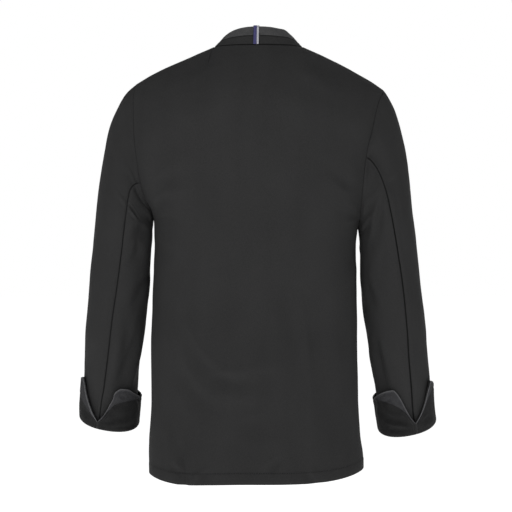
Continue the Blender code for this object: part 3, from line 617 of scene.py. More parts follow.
SLEEVE_FOLDS = both("ring0 angle0 ring1 angle1 bow width depth", [
    (0.2, 118, 3.2, 106, -3, 14, 2.6),
    (1.2, 140, 3.4, 96, 5, 11, 2.3),
    (2.2, 158, 5.2, 118, -6, 12, 2.6),
    (1.5, -150, 4.2, -104, -5, 12, 2.3),
    (3.8, -165, 6.8, -120, 6, 13, 2.2),
    (4.70, 124, 4.55, 70, 2, 6, -2.6),
    (4.40, 130, 4.25, 92, -2, 6, 3.4),
    (4.3, 150, 6.9, 112, 4, 12, 4.4),
    (5.8, 132, 7.8, 106, -5, 10, 3.2),
    (7.6, 150, 9.6, 122, 5, 12, 2.4),
    (9.6, 124, 13.2, 104, -5, 16, 4.2),
    (6.6, 132, 7.6, 98, 1, 5, 0.8),
    (7.5, 142, 8.7, 100, 2, 6, 0.9),
    (8.2, 150, 9.5, 104, -2, 6, 0.9),
    (9.0, 140, 10.3, 102, 2, 6, 0.8),
    (8.8, 96, 12.6, 100, 4, 9, -1.6),
    (6.4, 66, 9.2, 30, -9, 20, 1.6),
    (7.2, 176, 9.6, 128, 6, 12, 2.6),
    (8.6, -150, 10.6, -92, -6, 14, 2.4),
    (9.4, -60, 11.6, -16, 7, 15, 1.7),
    (9.8, 150, 12.6, 96, -7, 13, 2.4),
    (10.6, 60, 12.0, 20, 5, 13, 1.3),
    (11.0, 190, 13.2, 140, 6, 12, 1.9),
    (3.0, -40, 6.4, -72, 8, 18, 1.5),
    (2.4, 36, 6.8, 58, -8, 20, 1.2),
], [
    (-0.6, 96, 3.9, 92, 3, 17, 6.0),
    (1.4, 136, 3.8, 100, -5, 11, 2.4),
    (2.6, 162, 5.4, 112, 6, 13, 2.7),
    (1.7, -148, 4.6, -100, 5, 12, 2.3),
    (4.2, -168, 7.0, -124, -6, 12, 2.2),
    (3.2, 92, 4.6, 40, -4, 9, 1.8),
    (3.4, 96, 6.0, 118, 4, 10, 4.6),
    (3.9, 76, 6.6, 70, -4, 9, -2.2),
    (6.2, 104, 8.6, 92, -7, 12, 2.4),
    (7.2, 152, 9.4, 136, 5, 11, 4.0),
    (10.0, 140, 13.0, 118, -6, 13, 5.5),
    (6.8, 58, 9.8, 26, 9, 20, 1.5),
    (7.6, 178, 10.2, 132, -6, 13, 2.4),
    (8.8, -146, 10.8, -96, 6, 13, 2.3),
    (9.6, -56, 12.0, -14, -7, 16, 1.6),
    (10.2, 152, 12.8, 98, 7, 13, 2.2),
    (11.2, 52, 12.4, 16, -5, 12, 1.2),
    (3.2, -44, 6.6, -76, -8, 18, 1.5),
    (2.2, 40, 7.0, 60, 8, 20, 1.2),
])
CUFF_FOLDS = both("angle0 height0 angle1 height1 bow width depth", [
    (80, 9, 150, 15, -4, 5, 2.4),
    (88, 22, 156, 34, 5, 7, 2.0),
    (62, 11, 22, 28, 3, 7, 1.9),
    (108, 66, 126, 58, 2, 4, 1.4),
    (100, 6, 170, 4, 2, 5, 1.6),
    (150, 52, 176, 20, -3, 7, 1.9),
    (200, 8, 262, 26, 4, 8, 1.8),
    (300, 30, 344, 12, -4, 8, 1.7),
], [
    (82, 14, 146, 30, -4, 5, 2.8),
    (88, 24, 158, 46, 4, 6, 2.4),
    (66, 14, 40, 22, 2, 5, 1.9),
    (84, 8, 150, 16, 3, 5, 2.2),
    (116, 70, 136, 60, 2, 4, 1.4),
    (152, 58, 172, 28, -3, 7, 2.0),
    (196, 10, 250, 28, -4, 8, 1.8),
    (292, 28, 340, 14, 4, 8, 1.7),
])
RING_LENGTH = 46.0
DEGREE = math.radians(56.0)     # millimetres of one degree round a sleeve 56 in radius


def trough(distance, width):
    """Hollow with a low ridge on each side of it, 1 deep."""
    part = np.abs(distance) / width
    return np.exp(-part ** 2) - 0.42 * dent(part - 1.75, 0.7)


def along_fold(px, py, row):
    """How strongly a fold works at places given in its own plane."""
    x0, y0, x1, y1, bow, width, depth = row
    length = math.hypot(x1 - x0, y1 - y0)
    dx, dy = (x1 - x0) / length, (y1 - y0) / length
    t = ((px - x0) * dx + (py - y0) * dy) / length
    inside = np.clip(t, 0, 1)
    across = (px - x0) * dy - (py - y0) * dx - bow * 4 * inside * (1 - inside)
    across = across * (1 + 0.25 * np.tanh(across / width))
    swell = smooth(inside / 0.3) * smooth((1 - inside) / 0.62)
    return depth * swell * trough(across, width * (0.72 + 0.5 * inside))


def creases(rows, px, py):
    return -sum(along_fold(px, py, row) for row in rows)


def sleeve_creases(side, rings, angles):
    """Creases of a sleeve, which go on past 360 degrees."""
    rows = SLEEVE_FOLDS[side].rows * (RING_LENGTH, DEGREE, RING_LENGTH, DEGREE, 1, 1, 1)
    depth = sum(creases(rows, rings * RING_LENGTH, (angles + turn) * DEGREE) for turn in (-360, 0, 360))
    return depth * (1 - 0.8 * smooth(rings - 12.0))


def cuff_creases(side, angles, heights):
    rows = CUFF_FOLDS[side].rows * (DEGREE, 1, DEGREE, 1, 1, 1, 1)
    return sum(creases(rows, (angles + turn) * DEGREE, heights) for turn in (-360, 0, 360))


WAVE_SETS = (
    # wavelength, height, seed
    (165.0, 0.80, 20),
    (70.0, 0.28, 21),
    (26.0, 0.07, 22),
)


def ripple(points):
    """Small unevenness of cloth, in millimetres."""
    total = np.zeros(points.shape[:-1])
    for length, height, seed in WAVE_SETS:
        source = np.random.default_rng(seed)
        for _ in range(14):
            wave = unit(source.normal(size=3)) * 2 * math.pi / length * source.uniform(0.75, 1.3)
            total += height / 3.2 * np.sin(points @ wave + source.uniform(0, 2 * math.pi))
    return total


def pucker(along, across, seed, reach=7.0, height=0.16):
    """Short waves that a line of stitches draws into the cloth beside it."""
    source = np.random.default_rng(seed)
    waves = [(source.uniform(7, 17), source.uniform(0, 6.3)) for _ in range(4)]
    wave = sum(np.sin(along * 2 * math.pi / length + start) for length, start in waves)
    near = np.abs(across) / reach
    return height * wave / 2 * smooth(near / 0.3) * smooth((1.6 - near) / 1.2)


# ---------------------------------------------------------------- grids

SEAM_LINES = (0.9, 1.8, 3.2, 5.2)
STITCH_OFFSETS = (-1.5, -0.8, 0.0, 0.8, 1.5)
SIDES = ("top", "bottom", "first", "last")
FAR = 99.0


def lines(length, step, first=(), last=()):
    """Lines from 0 to 1 across a length, even apart from those set off from either end."""
    low, high = max(first, default=0.0) + 0.5 * step, length - max(last, default=0.0) - 0.5 * step
    even = np.linspace(0, length, max(int(round(length / step)), 2) + 1)
    even = even[(even > low) & (even < high)]
    return np.array([0.0, *first, *even, *[length - gap for gap in reversed(last)], length]) / length


def stitched(distance):
    """Lines for a sewn edge with a line of stitches at a distance from it."""
    return (0.9, 1.9, *[distance + gap for gap in STITCH_OFFSETS])


def run_lengths(points, axis):
    steps = np.linalg.norm(np.diff(points, axis=axis), axis=-1)
    start = np.zeros_like(np.take(steps, [0], axis=axis))
    return np.concatenate([start, np.cumsum(steps, axis=axis)], axis=axis)


def columns_at(values, runs, wanted):
    """Vectors of a grid, read along each of its columns at the wanted run lengths."""
    found = np.empty((*wanted.shape, 3))
    for j in range(wanted.shape[1]):
        for k in range(3):
            found[:, j, k] = np.interp(wanted[:, j], runs[:, j], values[:, j, k])
    return found


def edge_distance(points, sides=SIDES):
    """Distance along the surface to the nearest of the named sides of a grid."""
    down, across = run_lengths(points, 0), run_lengths(points, 1)
    every = dict(zip(SIDES, (down, down[-1:] - down, across, across[:, -1:] - across)))
    return np.minimum.reduce([every[side] for side in sides] + [np.full(points.shape[:2], FAR)])


def facing_out(points, hint):
    """Normals of a grid, on the side that the hint points to."""
    normals = unit(np.cross(np.gradient(points, axis=1), np.gradient(points, axis=0)))
    return normals if (normals * hint).sum() > 0 else -normals


def push(points, amount, hint, reach=9.0):
    """Points moved along normals evened out by column, so that close rows don't cross."""
    runs, normals = run_lengths(points, 0), facing_out(points, hint)
    even = sum(columns_at(normals, runs, runs + shift * reach) for shift in (-1.0, -0.5, 0.0, 0.5, 1.0))
    return points + unit(even) * amount[..., None]


def drawn_back(points, amount, reach=4.5):
    """Every edge of a grid moved in along its surface."""
    for _ in ("down", "across"):
        runs = run_lengths(points, 0)
        start, end = np.clip(1 - runs / reach, 0, 1), np.clip(1 - (runs[-1:] - runs) / reach, 0, 1)
        points = columns_at(points, runs, runs + amount * start - amount * end).swapaxes(0, 1)
    return points


def border(points):
    """Numbers of a grid's points, and of those round its border."""
    index = np.arange(points.shape[0] * points.shape[1]).reshape(points.shape[:2])
    return index, np.concatenate([index[0], index[1:, -1], index[-1, -2::-1], index[-2:0:-1, 0]])


# ---------------------------------------------------------------- meshes

RIM_TURNS = (40.0, 90.0, 140.0)


def add_mesh(name, points, faces, materials, uvs=None, kinds=None, attributes=()):
    mesh = bpy.data.meshes.new(name)
    mesh.from_pydata((points * MM).tolist(), [], faces)
    for material in materials:
        mesh.materials.append(material)
    mesh.shade_smooth()
    if kinds is not None:
        mesh.polygons.foreach_set("material_index", kinds.astype(np.int32))
    if uvs is not None:
        loops = np.empty(len(mesh.loops), dtype=np.int32)
        mesh.loops.foreach_get("vertex_index", loops)
        layer = mesh.uv_layers.new(name="cloth")
        layer.data.foreach_set("uv", (uvs[loops] * MM).astype(np.float32).ravel())
    for label, values in attributes:
        attribute = mesh.attributes.new(label, "FLOAT", "POINT")
        attribute.data.foreach_set("value", values.astype(np.float32))
    return add_object(name, mesh)


def ways_out(points, normals, loop):
    """Directions out of the border, in the surface and square to it."""
    away = np.zeros_like(points)
    away[0] += unit(points[0] - points[1])
    away[-1] += unit(points[-1] - points[-2])
    away[:, 0] += unit(points[:, 0] - points[:, 1])
    away[:, -1] += unit(points[:, -1] - points[:, -2])
    away, flat, line = [values.reshape(-1, 3)[loop] for values in (away, normals, points)]
    run = unit(np.roll(line, -1, axis=0) - np.roll(line, 1, axis=0))
    square = np.cross(run, flat)
    return unit(square * np.sign((square * away).sum(axis=1, keepdims=True)))


def add_shell(name, form):
    """Closed shell: an outer face, the same moved inwards, and a rounded rim."""
    points, normals = form.points, form.normals
    index, loop = border(points)
    quads = np.stack([index[:-1, :-1], index[:-1, 1:], index[1:, 1:], index[1:, :-1]], -1).reshape(-1, 4)
    across, down = points[:-1, 1:] - points[:-1, :-1], points[1:, :-1] - points[:-1, :-1]
    turned = (np.cross(across, down) * normals[:-1, :-1]).sum() < 0
    if turned:
        quads = quads[:, ::-1]
    away = ways_out(points, normals, loop) * form.wall / 2
    flat, line = normals.reshape(-1, 3)[loop] * form.wall / 2, points.reshape(-1, 3)[loop]
    vertices = [points.reshape(-1, 3), (points - normals * form.wall).reshape(-1, 3)]
    for turn in np.radians(RIM_TURNS):
        vertices.append(line - flat * (1 - math.cos(turn)) + away * math.sin(turn))
    rims = [loop, *np.arange(len(RIM_TURNS) * len(loop)).reshape(-1, len(loop)) + 2 * index.size]
    faces = [quads, quads[:, ::-1] + index.size]
    for upper, lower in zip(rims, rims[1:] + [loop + index.size]):
        band = np.stack([upper, lower, np.roll(lower, -1), np.roll(upper, -1)], -1)
        faces.append(band[:, ::-1] if turned else band)
    faces = np.concatenate(faces)
    kinds = np.where(np.arange(len(faces)) < len(quads), 0, len(form.materials) - 1)
    along, down = run_lengths(points, 1), run_lengths(points, 0)
    level = down[-1:] if len(form.free) < len(SIDES) else 0.0
    uv = np.stack([along - along[:, [along.shape[1] // 2]], level - down], -1).reshape(-1, 2)
    sewn_sides = [side for side in SIDES if side not in form.free]
    edges = edge_distance(points, form.free).reshape(-1)
    # Distance that the material darkens by with painted shade: to the sewn sides plus faint, or to a line of
    # stitches.
    seams = np.minimum(edge_distance(points, sewn_sides) + form.faint, form.groove).reshape(-1)
    uv, edges, seams = [np.concatenate([values, values] + [values[loop]] * len(RIM_TURNS))
                        for values in (uv, edges, seams)]
    return add_mesh(name, np.concatenate(vertices), faces.tolist(), form.materials, uv, kinds,
                    (("edge_mm", edges), ("seam_shade_mm", seams)))


# ---------------------------------------------------------------- materials

class Nodes:
    """Short way to add and link the shader nodes of a material or a world."""

    def __init__(self, owner):
        owner.use_nodes = True
        self.owner, self.tree = owner, owner.node_tree

    def feed(self, node, inputs):
        for name, value in dict(inputs).items():
            if isinstance(value, bpy.types.NodeSocket):
                self.tree.links.new(value, node.inputs[name])
            else:
                node.inputs[name].default_value = value
        return node

    def finish(self, inputs):
        self.feed(self.tree.nodes["Principled BSDF"], inputs)
        return self.owner

    def add(self, kind, inputs=(), **settings):
        node = self.tree.nodes.new(f"ShaderNode{kind}")
        for name, value in settings.items():
            setattr(node, name, value)
        return self.feed(node, inputs)

    def cloth(self):
        return self.add("UVMap", uv_map="cloth").outputs[0]

    def place(self):
        return self.add("TexCoord").outputs["Object"]

    def distance(self, name):
        return self.add("Attribute", attribute_name=name).outputs["Fac"]

    def scaled(self, vector, scale, turn=0.0):
        return self.add("Mapping", {"Vector": vector, "Scale": scale, "Rotation": (0, 0, turn)}).outputs[0]

    def noise(self, vector, scale, detail=2.0, roughness=0.5):
        inputs = {"Vector": vector, "Scale": scale, "Detail": detail, "Roughness": roughness}
        return self.add("TexNoise", inputs).outputs["Fac"]

    def wave(self, vector, period, direction, inputs):
        inputs = {"Vector": vector, "Scale": WAVE_PERIOD / period, **inputs}
        return self.add("TexWave", inputs, bands_direction=direction).outputs["Fac"]

    def band(self, value, low, high, to_low=0.0, to_high=1.0):
        inputs = {"Value": value, "From Min": low, "From Max": high, "To Min": to_low, "To Max": to_high}
        return self.add("MapRange", inputs).outputs[0]

    def math(self, operation, a, b):
        return self.add("Math", {0: a, 1: b}, operation=operation).outputs[0]

    def times(self, a, b):
        return self.math("MULTIPLY", a, b)

    def plus(self, *parts):
        total = parts[0]
        for part in parts[1:]:
            total = self.math("ADD", total, part)
        return total

    def blend(self, factor, a, b):
        a, b = [part if isinstance(part, bpy.types.NodeSocket) else (*part, 1.0) for part in (a, b)]
        return self.add("Mix", {0: factor, 6: a, 7: b}, data_type="RGBA").outputs[2]

    def bump(self, height, distance, strength, inputs=()):
        inputs = {"Height": height, "Distance": distance, "Strength": strength, **dict(inputs)}
        return self.add("Bump", inputs).outputs[0]


WAVE_PERIOD = 0.314       # length of one band of a wave texture of scale 1
RIB_PERIOD = 0.0008
LINT = (0.26, 0.26, 0.26)


# worn is the colour of the free edges: rub wear, and on the grey facing also a painted highlight.
def twill(name, dark, light, worn, speckle, lint=0.97, crumpled=1.0, rim=1.6, least=0.0):
    """Fine twill: diagonal ribs of uneven yarn, mottled, paler where edges rub (on the grey facing also a
    painted highlight along its free edges), and darkened with painted shade along seams and the hem's
    stitches.
    """
    nodes = Nodes(bpy.data.materials.new(name))
    cloth, place = nodes.cloth(), nodes.place()

    ribs = nodes.wave(nodes.scaled(cloth, (1, 1, 1), 0.96), RIB_PERIOD, "X",
                      {"Distortion": 0.6, "Detail": 1.0, "Detail Scale": 1.5})
    warp = nodes.noise(nodes.scaled(cloth, (2600, 150, 1)), 1.0)
    weft = nodes.noise(nodes.scaled(cloth, (170, 2400, 1)), 1.0)
    yarn = nodes.plus(nodes.times(warp, 0.6), nodes.times(weft, 0.4))
    grain = nodes.noise(cloth, 430.0, 3.0, 0.7)
    patches = nodes.noise(place, 11.0, 4.0, 0.55)
    streaks = nodes.noise(nodes.scaled(cloth, (26, 5, 1)), 1.0, 3.0, 0.5)

    tone = nodes.plus(nodes.times(nodes.band(ribs, 0.1, 0.9), 0.30),
                      nodes.times(nodes.band(yarn, 0.32, 0.68), 0.28 + speckle),
                      nodes.times(nodes.band(grain, 0.3, 0.7), 0.22 + speckle),
                      nodes.band(patches, 0.3, 0.7, -0.05, 0.05))
    if crumpled > 1:
        rubs = nodes.noise(place, 95.0, 2.0, 0.45)
        tone = nodes.plus(tone, nodes.band(rubs, 0.35, 0.65, -0.07, 0.07))
    tone = nodes.plus(tone, nodes.band(streaks, 0.3, 0.7, -0.05, 0.05))
    colour = nodes.blend(tone, dark, light)

    # Free edges go paler: rub wear, and on the grey facing a painted highlight, as if its folded edge caught
    # the light.
    near_edge = nodes.band(nodes.distance("edge_mm"), 0.1, rim, 1.0, 0.0)
    rubbed_and_lit = nodes.times(near_edge, nodes.band(grain, 0.36, 0.62, least, 0.7))
    colour = nodes.blend(rubbed_and_lit, colour, worn)
    # Painted shade: within about a millimetre of seams and the hem's line of stitches the colour goes
    # towards near black, as if shaded in their grooves.
    near_seam_shade = nodes.band(nodes.distance("seam_shade_mm"), 0.2, 1.25, 1.0, 0.0)
    sunk = nodes.times(near_seam_shade, nodes.band(streaks, 0.2, 0.8, 0.7, 1.0))
    colour = nodes.blend(sunk, colour, [part * 0.15 for part in dark])
    if lint:
        cells = nodes.add("TexVoronoi", {"Vector": cloth, "Scale": 30.0, "Randomness": 1.0}).outputs
        near = nodes.band(cells["Distance"], 0.010, 0.016, 1.0, 0.0)
        chance = nodes.add("SeparateColor", {"Color": cells["Color"]}).outputs[0]
        colour = nodes.blend(nodes.times(near, nodes.math("GREATER_THAN", chance, lint)), colour, LINT)

    folds = nodes.noise(place, 46.0 + 30.0 * (crumpled - 1), 4.0, 0.6)
    crumple = nodes.bump(folds, 0.0012 * crumpled, 0.55)
    weave = nodes.plus(nodes.times(ribs, 0.65), nodes.times(yarn, 0.35))
    return nodes.finish({
        "Base Color": colour, "Roughness": nodes.band(tone, 0.1, 0.9, 0.96, 0.84),
        "Normal": nodes.bump(weave, 0.00012, 0.8, {"Normal": crumple}),
        "Specular IOR Level": 0.08, "Sheen Weight": 0.02, "Sheen Roughness": 0.6,
    })


def woven_tape(name, stripes):
    """Tape with stripes along it and fine ribs across."""
    nodes = Nodes(bpy.data.materials.new(name))
    cloth = nodes.cloth()
    across = nodes.add("SeparateXYZ", {"Vector": cloth}).outputs[0]
    ramp = nodes.add("ValToRGB", {"Fac": nodes.band(across, TAPE_WIDTH / 2 * MM, -TAPE_WIDTH / 2 * MM)})
    ramp.color_ramp.interpolation = "CONSTANT"
    points = ramp.color_ramp.elements
    while len(points) < len(stripes):
        points.new(0.5)
    for point, (start, colour) in zip(points, stripes):
        point.position, point.color = start, (*colour, 1.0)
    ribs = nodes.wave(cloth, 0.0006, "Y", {"Distortion": 0.3})
    yarn = nodes.noise(nodes.scaled(cloth, (2600, 300, 1)), 1.0)
    shade = nodes.plus(nodes.times(ribs, 0.16), nodes.times(yarn, 0.30))
    return nodes.finish({
        "Base Color": nodes.blend(shade, ramp.outputs["Color"], (0.02, 0.02, 0.03)),
        "Roughness": nodes.band(yarn, 0.3, 0.7, 0.6, 0.8),
        "Normal": nodes.bump(nodes.plus(ribs, yarn), 0.00012, 0.8), "Specular IOR Level": 0.2,
    })


def thread(name, dark, light):
    """Twisted sewing thread."""
    nodes = Nodes(bpy.data.materials.new(name))
    place = nodes.place()
    twist = nodes.wave(place, 0.0004, "DIAGONAL", {"Distortion": 1.0})
    uneven = nodes.noise(place, 900.0)
    return nodes.finish({
        "Base Color": nodes.blend(nodes.times(twist, uneven), dark, light),
        "Roughness": nodes.band(uneven, 0.3, 0.7, 0.5, 0.7),
        "Normal": nodes.bump(twist, 0.00006, 0.7), "Specular IOR Level": 0.25,
    })


def moulded(name, dark, light):
    """Moulded plastic with faint flow marks and fine scratches."""
    nodes = Nodes(bpy.data.materials.new(name))
    place = nodes.place()
    flow, fine = nodes.noise(place, 160.0, 3.0, 0.6), nodes.noise(place, 1900.0, 2.0, 0.6)
    return nodes.finish({
        "Base Color": nodes.blend(nodes.band(flow, 0.3, 0.7), dark, light),
        "Roughness": nodes.band(fine, 0.3, 0.7, 0.34, 0.52),
        "Normal": nodes.bump(nodes.plus(nodes.times(fine, 0.3), flow), 0.00004, 0.6),
        "Specular IOR Level": 0.45,
    })


WORN_BLACK = (0.050, 0.050, 0.051)
BLACK = twill("black_twill_woven", (0.0180, 0.0180, 0.0183), (0.0420, 0.0420, 0.0422), WORN_BLACK, 0.04)
DENSE = twill("black_twill_dense", (0.0080, 0.0080, 0.0082), (0.0310, 0.0310, 0.0312), WORN_BLACK, 0.04,
              crumpled=2.0)
# Grey facing: its paler free edges are a painted highlight of the folded edge, with rub wear.
GREY = twill("grey_twill_woven", (0.0140, 0.0140, 0.0150), (0.0670, 0.0670, 0.0710),
             (0.165, 0.165, 0.170), 0.08, lint=0, crumpled=1.8, rim=2.8, least=0.4)
PALE = twill("grey_twill_collar", (0.0255, 0.0255, 0.0260), (0.1010, 0.1010, 0.1030),
             (0.125, 0.125, 0.127), 0.08, lint=0, crumpled=1.3)
TAPE = woven_tape("striped_tape_woven", (
    (0.0, (0.020, 0.018, 0.060)), (0.07, (0.082, 0.080, 0.215)), (0.26, (0.030, 0.027, 0.110)),
    (0.34, (0.090, 0.086, 0.235)), (0.52, (0.026, 0.024, 0.085)), (0.60, (0.60, 0.60, 0.64)),
    (0.92, (0.035, 0.033, 0.050)),
))
PLASTIC = moulded("button_moulded", (0.014, 0.014, 0.015), (0.024, 0.024, 0.025))
THREAD = thread("sewing_thread", (0.020, 0.020, 0.021), (0.050, 0.050, 0.052))
GREY_THREAD = thread("grey_sewing_thread", (0.050, 0.050, 0.056), (0.15, 0.15, 0.165))


def declare(item, node=None):
    """Tell the frame what a piece rides on, and hide the solid that it shows."""
    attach(item, "root")
    if node:
        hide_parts(node)


# ---------------------------------------------------------------- pieces of cloth

HEM_STITCH = 19.0
CUFF_STITCH = 6.0
VENT_STITCH = 4.5
EDGE_STITCH = 6.0
HEM_THICKER = 0.45        # by the cloth that is turned up inside
HEM_SUNK = 0.5            # how deep lines of stitches sink in
EDGE_SUNK = 0.34
CUFF_SUNK = 0.3
SEAM_SUNK = 1.1
SEAM_LIFTED = 0.55
FAINT = 0.75              # millimetres added to the distance from seams whose painted shade should hardly show
LEFT_FAINT = 0.35         # more of them at the left sleeve

# Lengths that the grids cover, and the steps between their lines.
BODY_LENGTH, BODY_STEP = 441.0, 4.2
HALF_WIDTH, HALF_STEP = 250.0, 3.9
LAP_STEP = 3.4
SLEEVE_LENGTH, SLEEVE_STEP = 650.0, 4.4
SLEEVE_WIDTH, SLEEVE_WIDTH_STEP = {"upper": 210.0, "under": 150.0}, 3.4
CUFF_TALL, CUFF_STEP = 68.0, 2.2
CUFF_ROUND, CUFF_ROUND_STEP = 330.0, 2.6
FACING_LENGTH, FACING_STEP = {"inner": 95.0, "outer": 80.0}, 1.8
FACING_WIDTH, FACING_WIDTH_STEP = 20.0, 1.1
COLLAR_ROUND, COLLAR_STEP = 480.0, 2.6
COLLAR_TALL, COLLAR_TALL_STEP = 14.0, 1.0

BACKWARD, FORWARD = np.array([0, 1.0, 0]), np.array([0, -1.0, 0])

LOW_ROWS = lines(BODY_LENGTH, BODY_STEP, last=stitched(HEM_STITCH))[1:]
ROWS = np.concatenate([np.linspace(0, ARM_ROWS, 97), ARM_ROWS + BODY_ROWS * LOW_ROWS])
HALF = lines(HALF_WIDTH, HALF_STEP, last=SEAM_LINES)

FORMS = {}                # piece name -> its form


class Form:
    """Points of a piece, the way it faces, its free sides and what it is made of."""

    def __init__(self, points, hint, free=SIDES, materials=(BLACK,), wall=WALL, faint=0.0, groove=FAR):
        self.points, self.free, self.materials, self.wall = points, free, materials, wall
        self.faint = faint      # added to the distance from its seams, so that their painted shade shows less
        self.groove = groove    # distance from a line of stitches that gets painted shade as a seam does
        self.sewn = len(free) < len(SIDES)
        self.normals = facing_out(points, hint)
        self.leans = self.normals.reshape(-1, 3).copy()


def seam_fade(points, reach=10.0):
    """0 on a piece's edges, 1 inside."""
    return smooth(edge_distance(points) / reach)


def above_hem(rows):
    """Millimetres above the hem, below the armpit, and far from it above."""
    return np.where(rows > ARM_ROWS, BODY_LENGTH * (1 - (rows - ARM_ROWS) / BODY_ROWS), BODY_LENGTH)


def add_body_panel(name, points, rows, amount, seed, hint, free):
    """The turned-up hem is thicker, and its stitches sink into it and get painted shade; armhole seams get
    little painted shade.
    """
    above = above_hem(rows) - HEM_STITCH
    relief = HEM_THICKER * smooth((1.6 - above) / 1.2) - HEM_SUNK * dent(above)
    amount = amount + relief + pucker(points[..., 0], above, seed, 9.0, 0.22)
    points = push(points, amount, hint)
    beside = smooth((run_lengths(points, 0) - 6) / 6)
    faint = FAINT * beside * smooth((ARM_ROWS + 0.2 - rows) / 0.4)
    FORMS[name] = Form(points, hint, free, faint=faint, groove=np.abs(above) + 0.35)


def make_back():
    across, rows = np.meshgrid(np.concatenate([-HALF[:0:-1], HALF]), ROWS)
    left, right = [panel_point(np.abs(across), side, 1, rows) for side in ("left", "right")]
    points = either(across >= 0, left, right)
    amount = creases(FOLDS["back"].rows, points[..., 0], points[..., 2]) + ripple(points)
    amount = amount * smooth(edge_distance(points, ("top", "first", "last")) / 10)
    add_body_panel("back_panel", points, rows, amount, 31, BACKWARD, ("bottom",))


def make_front(side):
    lap = -lines(FRONT_LAP, LAP_STEP, last=stitched(EDGE_STITCH))[1:]
    across, rows = np.meshgrid(np.concatenate([HALF[::-1], lap]), ROWS)
    points = front_form(side, across, rows)
    amount = creases(FOLDS["front"].rows, points[..., 0], points[..., 2]) + ripple(points)
    amount = amount * smooth(run_lengths(points, 1) / 10) * smooth(run_lengths(points, 0) / 10)
    from_stitch = FRONT_LAP * (1 + across) - EDGE_STITCH
    amount = amount - EDGE_SUNK * dent(from_stitch) + pucker(points[..., 2], from_stitch, 33)
    if side == "right":
        amount = mix(amount, 0.0, smooth((points[..., 0] + 95) / 25))
    add_body_panel(f"front_{side}_panel", points, rows, amount, 32, FORWARD, ("bottom", "last"))


def seam_relief(from_seam, along, allowance):
    """A back seam sinks between its two pieces; the turnings lift the one they lie under."""
    sunk = SEAM_SUNK * dent(from_seam, 2.4)
    lifted = SEAM_LIFTED * smooth(from_seam / 3.5) * smooth((11.0 - from_seam) / 2.2) * allowance
    return (lifted - sunk + pucker(along, from_seam - 2.0, 51, 6.0, 0.2)) * smooth(along / 12.0)


def make_sleeve(side, piece):
    """A sleeve piece: the upper from its back seam, the under on to the front seam."""
    upper = piece == "upper"
    columns = lines(SLEEVE_WIDTH[piece], SLEEVE_WIDTH_STEP, SEAM_LINES, SEAM_LINES)
    rings = SLEEVE_END * lines(SLEEVE_LENGTH, SLEEVE_STEP, SEAM_LINES, (1.2, 2.6))
    across, rings = np.meshgrid(columns, rings)
    angles = mix(SLEEVE[side].at("seam", rings), -FRONT_SEAM if upper else 360 - FRONT_SEAM, across)
    points = sleeve_point(side, rings, np.radians(angles))
    hint = unit(points - sleeve_point(side, rings, np.radians(angles) + math.pi))
    amount = (sleeve_creases(side, rings, angles) + ripple(points)) * seam_fade(points)
    amount += seam_relief(run_lengths(points, 1), run_lengths(points, 0), upper)
    points = push(points, amount, hint)
    faint = FAINT * smooth(1 - run_lengths(points, 0) / 5) + LEFT_FAINT * (side == "left")
    FORMS[f"sleeve_{piece}_{side}_panel"] = Form(points, hint, ("bottom",), faint=faint)


def make_cuff(side):
    """Up from -1 at the sleeve's end, 0 to 1 round the fold, 1 to 2 up to the free edge."""
    band = 1 + lines(CUFF_TALL, CUFF_STEP, last=stitched(CUFF_STITCH))[1:]
    up = np.concatenate([np.linspace(-1, 0, 3), np.linspace(0, 1, 17)[1:], band])
    across = lines(CUFF_ROUND, CUFF_ROUND_STEP, stitched(VENT_STITCH), stitched(VENT_STITCH))
    across, up = np.meshgrid(across, up)
    angle, height = cuff_place(side, across, up)
    points = either(up > 1, cuff_point(side, angle, height), cuff_fold_point(side, angle, up))
    hint = unit(points - points.reshape(-1, 3).mean(axis=0)) * (up > 1)[..., None]
    from_top = (2 - up) * CUFF_TALL
    from_stitches = from_top - CUFF_STITCH
    from_vent = np.minimum(across, 1 - across) * CUFF_ROUND - VENT_STITCH
    amount = cuff_creases(side, angle, height) + 0.5 * ripple(points * 1.6)
    amount -= CUFF_SUNK * (dent(from_vent) + dent(from_stitches))
    amount += pucker(from_top, from_vent, 61, 7.0, 0.2)
    amount += pucker(across * CUFF_ROUND, from_stitches, 62, 9.0, 0.3)
    points = push(points, amount * smooth((up - 1) / 0.12), hint, 1.0)
    FORMS[f"cuff_{side}_band"] = Form(points, hint, materials=(DENSE,))


def make_facing(side, flap):
    along = lines(FACING_LENGTH[flap], FACING_STEP, (1.0, 2.0), (1.0, 2.0))
    along, part = np.meshgrid(along, lines(FACING_WIDTH, FACING_WIDTH_STEP, (0.8,), (0.8, 1.6)))
    points, angle, height = facing_form(side, flap, along, part)
    around = np.radians(np.arange(0, 360, 5.0))
    hint = unit(points - sleeve_point(side, np.full(72, SLEEVE_END - 1), around).mean(axis=0))
    amount = cuff_creases(side, angle, height) + 0.12 * ripple(points * 5)
    form = Form(push(points, amount, hint, 1.0), hint, ("bottom", "last"), (GREY,), TRIM_WALL, 0.6)
    form.sewn = False       # it lies on the cuff
    FORMS[f"cuff_facing_{side}_{flap}_strip"] = form


def make_collar(name, low, high, materials, free, faints, seed):
    share = lines(COLLAR_ROUND, COLLAR_STEP, SEAM_LINES, SEAM_LINES)
    up = lines(COLLAR_TALL, COLLAR_TALL_STEP, (0.6, 1.3), (0.6, 1.3))[::-1]
    angle, up = np.meshgrid((180 - COLLAR_END) * (2 * share - 1), up)
    points, turn = collar_point(angle, mix(low, high, up)), np.radians(angle)
    hint = unit(stack(np.sin(turn), np.cos(turn), 0.0))
    amount = 0.45 * ripple(points * 1.5) * seam_fade(points, 5.0)
    amount += pucker(turn * NECK_HALF_WIDTH, (up - 0.5) * COLLAR_TALL, seed, 6.0, 0.12)
    FORMS[name] = Form(push(points, amount, hint, 1.0), hint, free, materials, COLLAR_WALL, mix(*faints, up))


